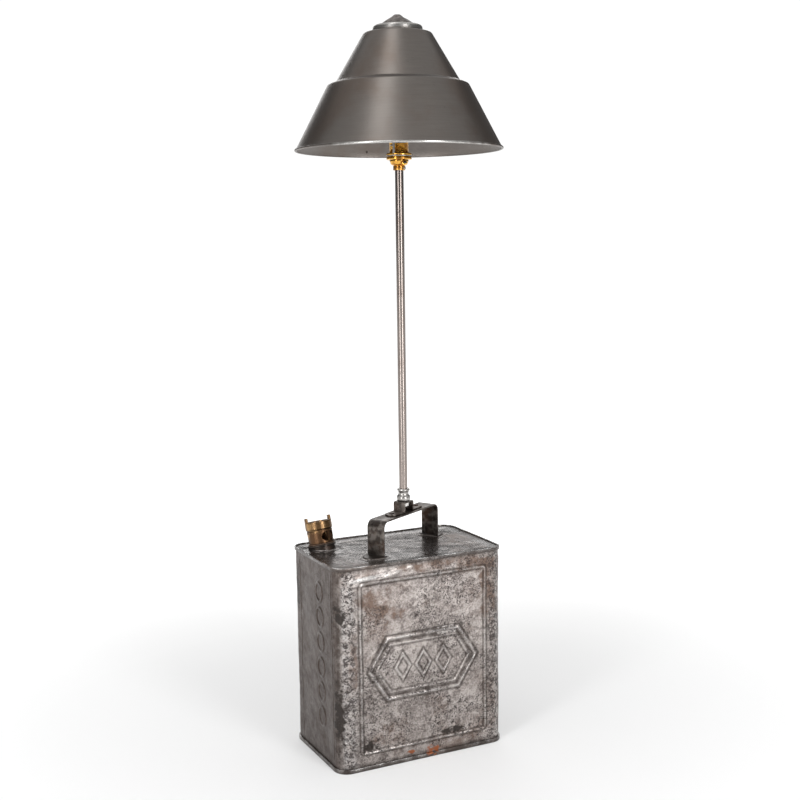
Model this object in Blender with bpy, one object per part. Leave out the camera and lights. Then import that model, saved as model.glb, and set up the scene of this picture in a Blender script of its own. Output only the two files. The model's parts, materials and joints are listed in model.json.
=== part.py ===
"""Table lamp made from a two-gallon petrol can.

Metres, +Z up.  The origin is on the floor, on the axis of the stem, which is also the axis of the
lampholder and the shade.  The can's long side runs along X and its front looks along -Y.
"""
from math import asin, cos, pi, radians, sin

import bmesh
import bpy
from mathutils import Matrix, Vector

# ---- driving dimensions -------------------------------------------------------------------------
GAP = 0.0003                 # clearance left between neighbouring pieces
MERGE = 0.000001
SHARP_ANGLE = radians(32)

CAN_CENTRE = Vector((-0.011, 0.001, 0.0))
CAN_WIDTH = 0.241            # sheet metal body, without the seams
CAN_DEPTH = 0.149
CAN_CORNER = 0.017
CAN_HEIGHT = 0.270
CAN_SHEET = 0.0008
SEAM_PROUD = 0.0020          # how far the folded seams stand out of the body
TOP_SEAM_HEIGHT = 0.0045
TOP_RECESS = 0.0016          # top plate below the top of its seam
BASE_SEAM_HEIGHT = 0.0055
BASE_RECESS = 0.0035
CORNER_STEPS = 6

PLATE_TOP = CAN_HEIGHT - TOP_RECESS
PLATE_UNDER = PLATE_TOP - CAN_SHEET

HANDLE_HEADING = radians(30)  # the handle lies across the can's corners
HANDLE_SPAN = 0.132          # middle of one leg to the middle of the other
HANDLE_WIDTH = 0.026
STRAP_SHEET = 0.0020
HANDLE_TOP = 0.3155
HANDLE_BEND = 0.009
FOOT_SHEET = 0.0016
FOOT_LENGTH = 0.021
FOOT_HALF_WIDTH = 0.0150

HUMP_TOP = 0.3300
HUMP_LENGTH = 0.0220
BRACKET_WIDTH = 0.0180
BRACKET_REACH = 0.0375       # half the bracket's length along the handle
BRACKET_BEND = 0.0017
RIVET_OFFSET = 0.0295
RIVET_SHANK = 0.0018
RIVET_HEAD = 0.0036

NIPPLE_RADIUS = 0.0050
NIPPLE_BORE = 0.0034
NIPPLE_LOW = 0.3225
NIPPLE_HIGH = 0.3376
LOCK_NUT_FLATS = 0.0140
LOCK_NUT_HEIGHT = 0.0038
TUBE_RADIUS = 0.0055
TUBE_WALL = 0.0010
TUBE_LOW = 0.3382
TUBE_HIGH = 0.7680

NECK_OFFSET = Vector((-0.0934, 0.0355, 0.0))
NECK_LEAN = radians(13.1)
NECK_HEADING = radians(107.7)  # the neck leans back and a little to the left
NECK_SEAT = 0.2755           # height of the middle of the neck's lip
NECK_BORE = 0.0152
NECK_RADIUS = 0.0168
NECK_LIP = 0.0190
NECK_DEPTH = 0.0170
WASHER_SHEET = 0.0012
CAP_FOOT = GAP + WASHER_SHEET + GAP
CAP_HEIGHT = 0.0310
CAP_BORE = 0.0140
CAP_PLUG = 0.0147
CAP_PLUG_DEPTH = 0.0105
CAP_FLOOR = 0.0025
CAP_RING_LOW = 0.0200         # foot of the cap's thicker upper ring
CAP_RING_RADIUS = 0.0180
LUG_HEIGHT = 0.0058
LUG_WIDTH = 0.0068
LUG_RADIUS = 0.0178
LUG_ROOT = 0.0040            # how far a lug's block reaches down into the ring
WINDOW_HEIGHT = 0.0122
WINDOW_WIDTH = 0.0088
WINDOW_BAR = 0.0036
WINDOW_MIDDLE = 0.0105
WINDOW_CUT = (0.0105, 0.0240)  # from inside the cup to outside the wall
LUG_HEADINGS = (radians(175), radians(-5))
WINDOW_HEADINGS = (radians(-68), radians(112))

HOLDER_LOW = 0.7630
DOME_LOW = 0.7690
SKIRT_LOW = 0.7761
SKIRT_HIGH = 0.8010
SKIRT_RADIUS = 0.0124
SKIRT_WALL = 0.0010
RING_BORE = SKIRT_RADIUS + GAP
LOWER_RING_TOP = 0.7804
CARRIER_SHEET = 0.0012
CARRIER_RADIUS = 0.0160
CARRIER_EAR_REACH = 0.0215
CARRIER_EAR_HALF_WIDTH = 0.0040
UPPER_RING_HEIGHT = 0.0024
RING_RADIUS = 0.0162
SWITCH_HEIGHT = 0.7722
SWITCH_RADIUS = 0.0015
SWITCH_FRONT = -0.0200
SWITCH_BACK = 0.0150
BUSH_INSIDE = 0.0123
BUSH_OUTSIDE = 0.0146
BUSH_RADIUS = 0.0030

BULB_LOW = 0.7868
BULB_CAP_HIGH = 0.8110
BULB_CAP_RADIUS = 0.0110
BULB_PIN_HEIGHT = 0.7945
BULB_PIN_RADIUS = 0.0010
BULB_PIN_REACH = 0.0123
BULB_RADIUS = 0.0300
BULB_MIDDLE = 0.8600
GLASS_WALL = 0.0010

HARP_WIRE = 0.0016           # radius of the wire
HARP_HEADING = radians(42.6)
HARP_FOOT = 0.0188
HARP_REACH = 0.0400
HARP_BEND = 0.0140
HARP_KNEES = (0.8060, 0.8380, 0.9000)
SEAT_SHEET = 0.0025
SEAT_RADIUS = 0.0095
STUD_LENGTH = 0.0100
SEAT_TOP = 0.9412
STUD_RADIUS = 0.0028
SHADE_SHEET = 0.0010
SHADE_RADIUS = 0.1340
SHADE_SEGMENTS = 48
TOTAL_HEIGHT = 0.9565

SMALL_SEGMENTS = 24
ROUND_SEGMENTS = 32

# ---- materials: colour, roughness, metallic -----------------------------------------------------
FINISHES = {
    "pitted_steel": ((0.25, 0.23, 0.21), 0.42, 1.0),
    "lacquered_steel": ((0.28, 0.27, 0.26), 0.22, 1.0),
    "dark_steel": ((0.10, 0.09, 0.08), 0.40, 1.0),
    "polished_steel": ((0.55, 0.54, 0.53), 0.15, 1.0),
    "satin_nickel": ((0.60, 0.60, 0.58), 0.25, 1.0),
    "aged_brass": ((0.22, 0.13, 0.06), 0.32, 1.0),
    "bright_brass": ((0.75, 0.50, 0.14), 0.18, 1.0),
    "spun_steel": ((0.20, 0.18, 0.17), 0.35, 1.0),
    "leather": ((0.30, 0.20, 0.12), 0.85, 0.0),
    "black_phenolic": ((0.02, 0.02, 0.02), 0.45, 0.0),
    "pearl_glass": ((0.90, 0.89, 0.86), 0.45, 0.0),
}


def make_material(name, finish):
    colour, roughness, metallic = finish
    material = bpy.data.materials.new(name)
    material.use_nodes = True
    shader = material.node_tree.nodes["Principled BSDF"]
    shader.inputs["Base Color"].default_value = (*colour, 1.0)
    shader.inputs["Roughness"].default_value = roughness
    shader.inputs["Metallic"].default_value = metallic
    return material


# ---- modelling helpers --------------------------------------------------------------------------
def finish_object(name, bm, material):
    """Turn a bmesh into a named, smooth-shaded object with its faces pointing out."""
    bmesh.ops.recalc_face_normals(bm, faces=bm.faces)
    mesh = bpy.data.meshes.new(name)
    bm.to_mesh(mesh)
    bm.free()
    mesh.shade_smooth()
    mesh.set_sharp_from_angle(angle=SHARP_ANGLE)
    obj = bpy.data.objects.new(name, mesh)
    bpy.context.scene.collection.objects.link(obj)
    if material is not None:
        mesh.materials.append(material)
    return obj


def turned(name, profile, material, segments=ROUND_SEGMENTS):
    """Turn (radius, height) points about Z.  A profile off the axis is a closed loop."""
    bm = bmesh.new()
    verts = [bm.verts.new((radius, 0.0, height)) for radius, height in profile]
    edges = [bm.edges.new(pair) for pair in zip(verts, verts[1:])]
    if profile[0][0] > 0.0:
        edges.append(bm.edges.new((verts[-1], verts[0])))
    bmesh.ops.spin(bm, geom=verts + edges, cent=(0, 0, 0), axis=(0, 0, 1), angle=2 * pi, steps=segments)
    bmesh.ops.remove_doubles(bm, verts=bm.verts, dist=MERGE)
    return finish_object(name, bm, material)


def prism(name, outline, low, high, material=None):
    """Closed prism of an (x, y) outline between two heights."""
    bm = bmesh.new()
    face = bm.faces.new([bm.verts.new((x, y, low)) for x, y in outline])
    grown = bmesh.ops.extrude_face_region(bm, geom=[face])
    top = [item for item in grown["geom"] if isinstance(item, bmesh.types.BMVert)]
    bmesh.ops.translate(bm, verts=top, vec=(0, 0, high - low))
    return finish_object(name, bm, material)


def arc(centre, radius, start, end, steps):
    """Points of an arc, both ends included."""
    cx, cy = centre
    angles = [start + (end - start) * step / steps for step in range(steps + 1)]
    return [(cx + radius * cos(angle), cy + radius * sin(angle)) for angle in angles]


def regular_polygon(sides, radius, turn=0.0):
    return [(radius * cos(turn + 2 * pi * k / sides), radius * sin(turn + 2 * pi * k / sides))
            for k in range(sides)]


def can_outline(offset):
    """Rounded rectangle of the can's body, moved outwards by offset, about the can's middle."""
    half_x = CAN_WIDTH / 2 - CAN_CORNER
    half_y = CAN_DEPTH / 2 - CAN_CORNER
    radius = CAN_CORNER + offset
    corners = [(half_x, half_y), (-half_x, half_y), (-half_x, -half_y), (half_x, -half_y)]
    points = []
    for quarter, corner in enumerate(corners):
        start = quarter * pi / 2
        points += arc(corner, radius, start, start + pi / 2, CORNER_STEPS)
    return points


def can_loft(name, sections, material, closed):
    """Join can outlines given as (offset, height).  Closed goes round; open is capped at both ends."""
    bm = bmesh.new()
    rings = []
    for offset, height in sections:
        outline = can_outline(offset)
        rings.append([bm.verts.new((x, y, height)) for x, y in outline])
    pairs = list(zip(rings, rings[1:]))
    if closed:
        pairs.append((rings[-1], rings[0]))
    else:
        bm.faces.new(rings[0])
        bm.faces.new(rings[-1])
    for ring_a, ring_b in pairs:
        count = len(ring_a)
        for k in range(count):
            after = (k + 1) % count
            bm.faces.new((ring_a[k], ring_a[after], ring_b[after], ring_b[k]))
    obj = finish_object(name, bm, material)
    obj.location = CAN_CENTRE
    return obj


def rounded_path(corners, radius, steps=4):
    """A line through the corner points with every inner corner bent to the radius."""
    path = [Vector(corners[0])]
    for before, corner, after in zip(corners, corners[1:], corners[2:]):
        corner = Vector(corner)
        back = (Vector(before) - corner).normalized()
        ahead = (Vector(after) - corner).normalized()
        half_turn = back.angle(ahead) / 2
        reach = radius / (sin(half_turn) / cos(half_turn))
        centre = corner + (back + ahead).normalized() * radius / sin(half_turn)
        first = corner + back * reach - centre
        sweep = pi - 2 * half_turn
        side = 1.0 if first.cross(corner + ahead * reach - centre) > 0 else -1.0
        for step in range(steps + 1):
            turn = Matrix.Rotation(side * sweep * step / steps, 2)
            path.append(centre + turn @ first)
    path.append(Vector(corners[-1]))
    return path


def strip_outline(path, thickness):
    """Outline of a sheet of the given thickness whose middle follows the path."""
    left = []
    right = []
    for index, point in enumerate(path):
        before = path[max(index - 1, 0)]
        after = path[min(index + 1, len(path) - 1)]
        along = (after - before).normalized()
        normal = Vector((-along.y, along.x)) * thickness / 2
        left.append(point + normal)
        right.append(point - normal)
    return left + right[::-1]


def bent_strip(name, corners, radius, thickness, width, material):
    """Sheet strip bent through (along, height) corners, its width across the handle's plane."""
    outline = strip_outline(rounded_path(corners, radius), thickness)
    bm = bmesh.new()
    face = bm.faces.new([bm.verts.new((s, -width / 2, z)) for s, z in outline])
    grown = bmesh.ops.extrude_face_region(bm, geom=[face])
    side = [item for item in grown["geom"] if isinstance(item, bmesh.types.BMVert)]
    bmesh.ops.translate(bm, verts=side, vec=(0, width, 0))
    obj = finish_object(name, bm, material)
    obj.rotation_euler.z = HANDLE_HEADING
    return obj


def as_cutter(obj):
    obj.hide_render = True
    obj.display_type = "WIRE"
    return obj


def boolean(obj, other, operation="DIFFERENCE"):
    modifier = obj.modifiers.new(other.name, "BOOLEAN")
    modifier.operation = operation
    modifier.solver = "EXACT"
    modifier.object = as_cutter(other)


def along_handle(distance):
    """World point at a distance from the stem along the handle."""
    return Vector((distance * cos(HANDLE_HEADING), distance * sin(HANDLE_HEADING), 0.0))


def neck_frame():
    """Empty on the filler neck's axis, at the middle of its lip; neck and cap are its children."""
    frame = bpy.data.objects.new("neck_axis", None)
    bpy.context.scene.collection.objects.link(frame)
    frame.location = CAN_CENTRE + NECK_OFFSET + Vector((0, 0, NECK_SEAT))
    lean_axis = Vector((-sin(NECK_HEADING), cos(NECK_HEADING), 0.0))
    frame.rotation_mode = "QUATERNION"
    frame.rotation_quaternion = Matrix.Rotation(NECK_LEAN, 3, lean_axis).to_quaternion()
    return frame


# ---- the can ------------------------------------------------------------------------------------
def make_can(materials, neck):
    body_low = BASE_RECESS + CAN_SHEET + GAP
    body_high = PLATE_UNDER - GAP
    can_loft("can_body", [(0.0, body_low), (0.0, body_high), (-CAN_SHEET, body_high),
                          (-CAN_SHEET, body_low)], materials["pitted_steel"], closed=True)
    flat = -0.0040
    seam_edge = 0.0006
    top = can_loft("can_top", [
        (flat, PLATE_UNDER), (GAP, PLATE_UNDER), (GAP, CAN_HEIGHT - TOP_SEAM_HEIGHT),
        (SEAM_PROUD - seam_edge, CAN_HEIGHT - TOP_SEAM_HEIGHT),
        (SEAM_PROUD, CAN_HEIGHT - TOP_SEAM_HEIGHT + seam_edge), (SEAM_PROUD, CAN_HEIGHT - seam_edge),
        (SEAM_PROUD - seam_edge, CAN_HEIGHT), (seam_edge, CAN_HEIGHT),
        (0.0, CAN_HEIGHT - seam_edge), (-seam_edge, PLATE_TOP), (flat, PLATE_TOP),
    ], materials["lacquered_steel"], closed=False)
    hole = turned("cutter_neck_hole", [(0, -0.02), (NECK_RADIUS + GAP, -0.02),
                                       (NECK_RADIUS + GAP, 0.02), (0, 0.02)], None)
    hole.parent = neck
    boolean(top, hole)
    can_loft("can_bottom", [
        (flat, BASE_RECESS + CAN_SHEET), (GAP, BASE_RECESS + CAN_SHEET), (GAP, BASE_SEAM_HEIGHT),
        (SEAM_PROUD - seam_edge, BASE_SEAM_HEIGHT),
        (SEAM_PROUD, BASE_SEAM_HEIGHT - seam_edge), (SEAM_PROUD, seam_edge),
        (SEAM_PROUD - seam_edge, 0.0), (-seam_edge, 0.0), (-2 * seam_edge, seam_edge),
        (-2 * seam_edge, BASE_RECESS), (flat, BASE_RECESS),
    ], materials["pitted_steel"], closed=False)


def make_filler(materials, neck):
    """Neck, its washer and the screw cap, all along the neck's own leaning axis."""
    lip_under = -0.0024
    pieces = [turned("filler_neck", [
        (NECK_BORE, 0.0), (NECK_LIP - 0.0004, 0.0), (NECK_LIP, -0.0004), (NECK_LIP, lip_under),
        (NECK_RADIUS, lip_under), (NECK_RADIUS, -NECK_DEPTH), (NECK_BORE, -NECK_DEPTH),
    ], materials["dark_steel"])]
    pieces.append(turned("cap_washer", [
        (NECK_BORE, GAP), (NECK_LIP - 0.0012, GAP), (NECK_LIP - 0.0012, GAP + WASHER_SHEET),
        (NECK_BORE, GAP + WASHER_SHEET),
    ], materials["leather"]))
    cap = turned("filler_cap", [
        (0.0, -CAP_PLUG_DEPTH), (CAP_PLUG - 0.0006, -CAP_PLUG_DEPTH),
        (CAP_PLUG, 0.0006 - CAP_PLUG_DEPTH), (CAP_PLUG, CAP_FOOT), (0.0164, CAP_FOOT),
        (0.0168, CAP_FOOT + 0.0006), (0.0172, CAP_RING_LOW - 0.0018), (0.0166, CAP_RING_LOW - 0.0010),
        (CAP_RING_RADIUS, CAP_RING_LOW + 0.0012), (CAP_RING_RADIUS, CAP_HEIGHT - 0.0005),
        (CAP_RING_RADIUS - 0.0004, CAP_HEIGHT),
        (CAP_BORE, CAP_HEIGHT), (CAP_BORE, CAP_FOOT + CAP_FLOOR), (0.0, CAP_FOOT + CAP_FLOOR),
    ], materials["aged_brass"])
    pieces.append(cap)
    for number, heading in enumerate(LUG_HEADINGS):
        lug = make_lug("cutter_lug_%d" % number, heading)
        lug.parent = neck
        boolean(cap, lug, "UNION")
    for number, heading in enumerate(WINDOW_HEADINGS):
        for side in (-1, 1):
            window = make_window("cutter_window_%d_%d" % (number, side), heading, side)
            window.parent = neck
            boolean(cap, window)
    for piece in pieces:
        piece.parent = neck


def make_lug(name, heading):
    """One upstanding lug of the cap's ring, a block rounded to the ring's outside."""
    spread = asin(LUG_WIDTH / 2 / LUG_RADIUS)
    outline = arc((0, 0), LUG_RADIUS, -spread, spread, 3)
    inner_x = CAP_BORE + 0.0002
    outline += [(inner_x, LUG_WIDTH / 2), (inner_x, -LUG_WIDTH / 2)]
    lug = prism(name, outline, CAP_HEIGHT - LUG_ROOT, CAP_HEIGHT + LUG_HEIGHT)
    lug.rotation_euler.z = heading
    return lug


def make_window(name, heading, side):
    """D-shaped hole through the cap's wall, its straight edge towards the bar between the pair."""
    half_height = WINDOW_HEIGHT / 2
    straight = WINDOW_BAR / 2
    middle = straight + WINDOW_WIDTH - half_height
    round_end = arc((middle, 0.0), half_height, -pi / 2, pi / 2, 8)
    outline = [(straight, -half_height)] + round_end + [(straight, half_height)]
    if side < 0:
        outline = [(-x, y) for x, y in outline]
    cutter = prism(name, outline, *WINDOW_CUT)
    lie_down = Matrix.Rotation(pi / 2, 4, "X")
    face_out = Matrix.Rotation(heading + pi / 2, 4, "Z")
    height = Matrix.Translation((0, 0, WINDOW_MIDDLE))
    cutter.matrix_basis = height @ face_out @ lie_down
    return cutter


# ---- handle and stem bracket --------------------------------------------------------------------
def make_handle(materials):
    half = HANDLE_SPAN / 2
    leg_low = PLATE_TOP + GAP + FOOT_SHEET + GAP
    middle = HANDLE_TOP - STRAP_SHEET / 2
    strap = bent_strip("handle", [(-half, leg_low), (-half, middle), (half, middle), (half, leg_low)],
                       HANDLE_BEND, STRAP_SHEET, HANDLE_WIDTH, materials["dark_steel"])
    for side, distance in (("left", -half), ("right", half)):
        make_foot("handle_foot_" + side, distance, materials["dark_steel"])
    reach = HUMP_LENGTH / 2 - STRAP_SHEET / 2
    flange = HANDLE_TOP + GAP + STRAP_SHEET / 2
    crown = HUMP_TOP - STRAP_SHEET / 2
    bracket = bent_strip("stem_bracket", [
        (-BRACKET_REACH, flange), (-reach, flange), (-reach, crown),
        (reach, crown), (reach, flange), (BRACKET_REACH, flange),
    ], BRACKET_BEND, STRAP_SHEET, BRACKET_WIDTH, materials["dark_steel"])
    bore = turned("cutter_nipple_hole", cylinder_profile(NIPPLE_RADIUS + GAP, crown - 0.004, crown + 0.004),
                  None)
    boolean(bracket, bore)
    for side, distance in (("left", -RIVET_OFFSET), ("right", RIVET_OFFSET)):
        make_rivet(side, distance, strap, bracket, materials["dark_steel"])


def cylinder_profile(radius, low, high):
    return [(0.0, low), (radius, low), (radius, high), (0.0, high)]


def make_foot(name, distance, material):
    """D-shaped plate under one leg, its round side away from the stem."""
    outward = 1 if distance > 0 else -1
    inner = STRAP_SHEET * 1.5
    steps = 14
    outline = [(-outward * inner, -FOOT_HALF_WIDTH)]
    for step in range(steps + 1):
        angle = -pi / 2 + pi * step / steps
        outline.append((outward * FOOT_LENGTH * cos(angle), FOOT_HALF_WIDTH * sin(angle)))
    outline.append((-outward * inner, FOOT_HALF_WIDTH))
    foot = prism(name, outline, PLATE_TOP + GAP, PLATE_TOP + GAP + FOOT_SHEET, material)
    foot.location = along_handle(distance)
    foot.rotation_euler.z = HANDLE_HEADING


def make_rivet(side, distance, strap, bracket, material):
    """Round-headed rivet through the bracket's flange and the handle."""
    top = HANDLE_TOP + GAP + STRAP_SHEET + GAP
    under = HANDLE_TOP - STRAP_SHEET - GAP
    tail = RIVET_HEAD - 0.0006
    rivet = turned("bracket_rivet_" + side, [
        (0.0, top + 0.0013), (RIVET_HEAD * 0.55, top + 0.0011), (RIVET_HEAD * 0.9, top + 0.0005),
        (RIVET_HEAD, top), (RIVET_SHANK, top), (RIVET_SHANK, under), (tail, under),
        (tail * 0.8, under - 0.0008), (0.0, under - 0.0010),
    ], material, segments=16)
    hole = turned("cutter_rivet_" + side, cylinder_profile(RIVET_SHANK + GAP, under - 0.002, top + 0.002),
                  None, segments=16)
    for item in (rivet, hole):
        item.location = along_handle(distance)
    boolean(strap, hole)
    boolean(bracket, hole)


def make_stem(materials):
    turned("stem_nipple", [
        (NIPPLE_BORE, NIPPLE_LOW), (NIPPLE_RADIUS, NIPPLE_LOW), (NIPPLE_RADIUS, NIPPLE_HIGH),
        (NIPPLE_BORE, NIPPLE_HIGH),
    ], materials["satin_nickel"], SMALL_SEGMENTS)
    nut_top = HUMP_TOP - STRAP_SHEET - GAP
    nut_low = nut_top - LOCK_NUT_HEIGHT
    nut = prism("stem_lock_nut", regular_polygon(6, LOCK_NUT_FLATS / 2 / cos(pi / 6), pi / 6),
                nut_low, nut_top, materials["satin_nickel"])
    nut.rotation_euler.z = HANDLE_HEADING
    boolean(nut, turned("cutter_nut_bore", cylinder_profile(
        NIPPLE_RADIUS + GAP, nut_low - 0.002, nut_top + 0.002), None, SMALL_SEGMENTS))
    foot = HUMP_TOP + GAP
    bore_low = NIPPLE_RADIUS + GAP
    bore_high = TUBE_RADIUS + GAP
    shelf = TUBE_LOW - GAP
    turned("stem_coupler", [
        (bore_low, foot), (0.0078, foot), (0.0088, foot + 0.0012), (0.0092, foot + 0.0035),
        (0.0086, foot + 0.0062), (0.0072, foot + 0.0082), (0.0069, foot + 0.0112),
        (0.0074, foot + 0.0130), (0.0084, foot + 0.0142), (0.0084, foot + 0.0156),
        (0.0074, foot + 0.0167), (bore_high, foot + 0.0167), (bore_high, shelf), (bore_low, shelf),
    ], materials["satin_nickel"])
    inner = TUBE_RADIUS - TUBE_WALL
    turned("stem_tube", [(inner, TUBE_LOW), (TUBE_RADIUS, TUBE_LOW), (TUBE_RADIUS, TUBE_HIGH),
                         (inner, TUBE_HIGH)], materials["polished_steel"])


# ---- lampholder and bulb ------------------------------------------------------------------------
def make_holder(materials):
    brass = materials["bright_brass"]
    bore = TUBE_RADIUS + GAP
    wall = 0.0011
    dome_high = SKIRT_LOW - GAP
    dome = turned("holder_cap", [
        (bore, HOLDER_LOW), (0.0072, HOLDER_LOW), (0.0077, HOLDER_LOW + 0.0006),
        (0.0077, DOME_LOW - 0.0012), (0.0072, DOME_LOW - 0.0004), (0.0095, DOME_LOW + 0.0008),
        (0.0109, DOME_LOW + 0.0024), (0.0117, DOME_LOW + 0.0046), (0.0120, dome_high),
        (0.0120 - wall, dome_high), (0.0117 - wall, DOME_LOW + 0.0048),
        (0.0106 - wall, DOME_LOW + 0.0030), (bore, DOME_LOW + 0.0010),
    ], brass)
    through = turned("cutter_switch_hole", cylinder_profile(SWITCH_RADIUS + GAP, -0.02, 0.02), None,
                     SMALL_SEGMENTS)
    lay_along_y(through)
    boolean(dome, through)
    bush = [(SWITCH_RADIUS + GAP, BUSH_INSIDE), (BUSH_RADIUS, BUSH_INSIDE),
            (BUSH_RADIUS, BUSH_OUTSIDE - 0.0004), (BUSH_RADIUS - 0.0004, BUSH_OUTSIDE),
            (SWITCH_RADIUS + GAP, BUSH_OUTSIDE)]
    lay_along_y(turned("switch_bush_front", bush, brass, SMALL_SEGMENTS))
    back = [(radius, -height) for radius, height in bush]
    lay_along_y(turned("switch_bush_back", back, brass, SMALL_SEGMENTS))
    round_end = 0.0004
    bar = [(0.0, -SWITCH_BACK), (SWITCH_RADIUS - round_end, -SWITCH_BACK),
           (SWITCH_RADIUS, round_end - SWITCH_BACK), (SWITCH_RADIUS, -SWITCH_FRONT - round_end),
           (SWITCH_RADIUS - round_end, -SWITCH_FRONT), (0.0, -SWITCH_FRONT)]
    lay_along_y(turned("switch_bar", bar, materials["black_phenolic"], 16))
    make_skirt(materials)
    make_contacts(materials)


def lay_along_y(obj):
    """Turn a piece made along +Z so that it points along -Y at the switch's height."""
    obj.rotation_euler.x = pi / 2
    obj.location = (0.0, 0.0, SWITCH_HEIGHT)


def make_skirt(materials):
    """Threaded skirt with two bayonet slots, and the two rings that clamp the shade's carrier."""
    brass = materials["bright_brass"]
    skirt = turned("holder_body", [
        (SKIRT_RADIUS - SKIRT_WALL, SKIRT_LOW), (SKIRT_RADIUS, SKIRT_LOW), (SKIRT_RADIUS, SKIRT_HIGH),
        (SKIRT_RADIUS - SKIRT_WALL, SKIRT_HIGH),
    ], brass)
    slot_half = BULB_PIN_RADIUS + 0.0004
    entry = radians(28)
    for side in (0, 1):
        slot = prism("cutter_slot_%d" % side, slot_outline(entry, slot_half), BULB_PIN_HEIGHT - slot_half,
                     BULB_PIN_HEIGHT + slot_half)
        mouth = prism("cutter_mouth_%d" % side, [(0.008, -slot_half), (0.016, -slot_half),
                                                 (0.016, slot_half), (0.008, slot_half)],
                      BULB_PIN_HEIGHT - slot_half, SKIRT_HIGH + 0.002)
        slot.rotation_euler.z = side * pi
        mouth.rotation_euler.z = side * pi + entry
        boolean(skirt, slot)
        boolean(skirt, mouth)
    ring_low = SKIRT_LOW
    groove = RING_RADIUS - 0.0006
    mid = (ring_low + LOWER_RING_TOP) / 2
    turned("shade_ring_lower", [
        (RING_BORE, ring_low), (RING_RADIUS - 0.0008, ring_low), (RING_RADIUS, ring_low + 0.0008),
        (RING_RADIUS, mid - 0.0004), (groove, mid), (RING_RADIUS, mid + 0.0004),
        (RING_RADIUS, LOWER_RING_TOP), (RING_BORE, LOWER_RING_TOP),
    ], brass)
    upper_low = LOWER_RING_TOP + GAP + CARRIER_SHEET + GAP
    upper_high = upper_low + UPPER_RING_HEIGHT
    turned("shade_ring_upper", [
        (RING_BORE, upper_low), (RING_RADIUS, upper_low), (RING_RADIUS, upper_high - 0.0006),
        (RING_RADIUS - 0.0006, upper_high), (RING_BORE, upper_high),
    ], brass)


def slot_outline(entry, half_width):
    """Plan of one bayonet slot: from a pin's resting place round to the slot's mouth."""
    inner = 0.0095
    outer = 0.0140
    spread = half_width / SKIRT_RADIUS
    steps = 4
    far = arc((0, 0), outer, -spread, entry + spread, steps)
    near = arc((0, 0), inner, entry + spread, -spread, steps)
    return far + near


def make_contacts(materials):
    insulator_low = SKIRT_LOW + 0.0020
    insulator_high = insulator_low + 0.0050
    hole_offset = 0.0055
    plunger_radius = 0.0019
    disc = turned("holder_insulator", cylinder_profile(
        SKIRT_RADIUS - SKIRT_WALL - GAP, insulator_low, insulator_high),
        materials["black_phenolic"], SMALL_SEGMENTS)
    for side, place in (("left", -hole_offset), ("right", hole_offset)):
        hole = turned("cutter_plunger_" + side, cylinder_profile(
            plunger_radius + GAP, insulator_low - 0.001, insulator_high + 0.001), None, 16)
        plunger = turned("contact_plunger_" + side, [
            (0.0, insulator_low), (plunger_radius, insulator_low),
            (plunger_radius, BULB_LOW - GAP - 0.0008), (0.0012, BULB_LOW - GAP),
            (0.0, BULB_LOW - GAP)], materials["bright_brass"], 16)
        hole.location.y = place
        plunger.location.y = place
        boolean(disc, hole)


def make_bulb(materials):
    cap = turned("bulb_cap", [
        (0.0, BULB_LOW), (0.0088, BULB_LOW), (0.0104, BULB_LOW + 0.0014),
        (BULB_CAP_RADIUS, BULB_LOW + 0.0034), (BULB_CAP_RADIUS, BULB_CAP_HIGH),
        (0.0, BULB_CAP_HIGH),
    ], materials["satin_nickel"])
    pins = turned("cutter_bulb_pins", cylinder_profile(BULB_PIN_RADIUS, -BULB_PIN_REACH, BULB_PIN_REACH),
                  None, 12)
    pins.rotation_euler.y = pi / 2
    pins.location.z = BULB_PIN_HEIGHT
    boolean(cap, pins, "UNION")
    glass_low = BULB_CAP_HIGH + GAP
    outer = [(0.0106, glass_low), (0.0128, glass_low + 0.0060), (0.0170, glass_low + 0.0165)]
    rise = radians(-34)
    steps = 9
    for step in range(steps + 1):
        angle = rise + (pi / 2 - rise) * step / steps
        outer.append((BULB_RADIUS * cos(angle), BULB_MIDDLE + BULB_RADIUS * sin(angle)))
    outer[-1] = (0.0, BULB_MIDDLE + BULB_RADIUS)
    inner = [(max(radius - GLASS_WALL, 0.0), height) for radius, height in outer[:3]]
    inside = BULB_RADIUS - GLASS_WALL
    for step in range(steps + 1):
        angle = rise + (pi / 2 - rise) * step / steps
        inner.append((inside * cos(angle), BULB_MIDDLE + inside * sin(angle)))
    inner[-1] = (0.0, BULB_MIDDLE + inside)
    glass_shell("bulb_glass", outer, inner, materials["pearl_glass"])


def glass_shell(name, outer, inner, material):
    """Turned shell that is open at its foot: outside up to the pole, inside back down."""
    bm = bmesh.new()
    for line in (outer, inner):
        verts = [bm.verts.new((radius, 0.0, height)) for radius, height in line]
        edges = [bm.edges.new(pair) for pair in zip(verts, verts[1:])]
        bmesh.ops.spin(bm, geom=verts + edges, cent=(0, 0, 0), axis=(0, 0, 1), angle=2 * pi,
                       steps=SMALL_SEGMENTS)
    bmesh.ops.remove_doubles(bm, verts=bm.verts, dist=MERGE)
    rims = [edge for edge in bm.edges if edge.is_boundary]
    bmesh.ops.bridge_loops(bm, edges=rims)
    return finish_object(name, bm, material)


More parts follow.
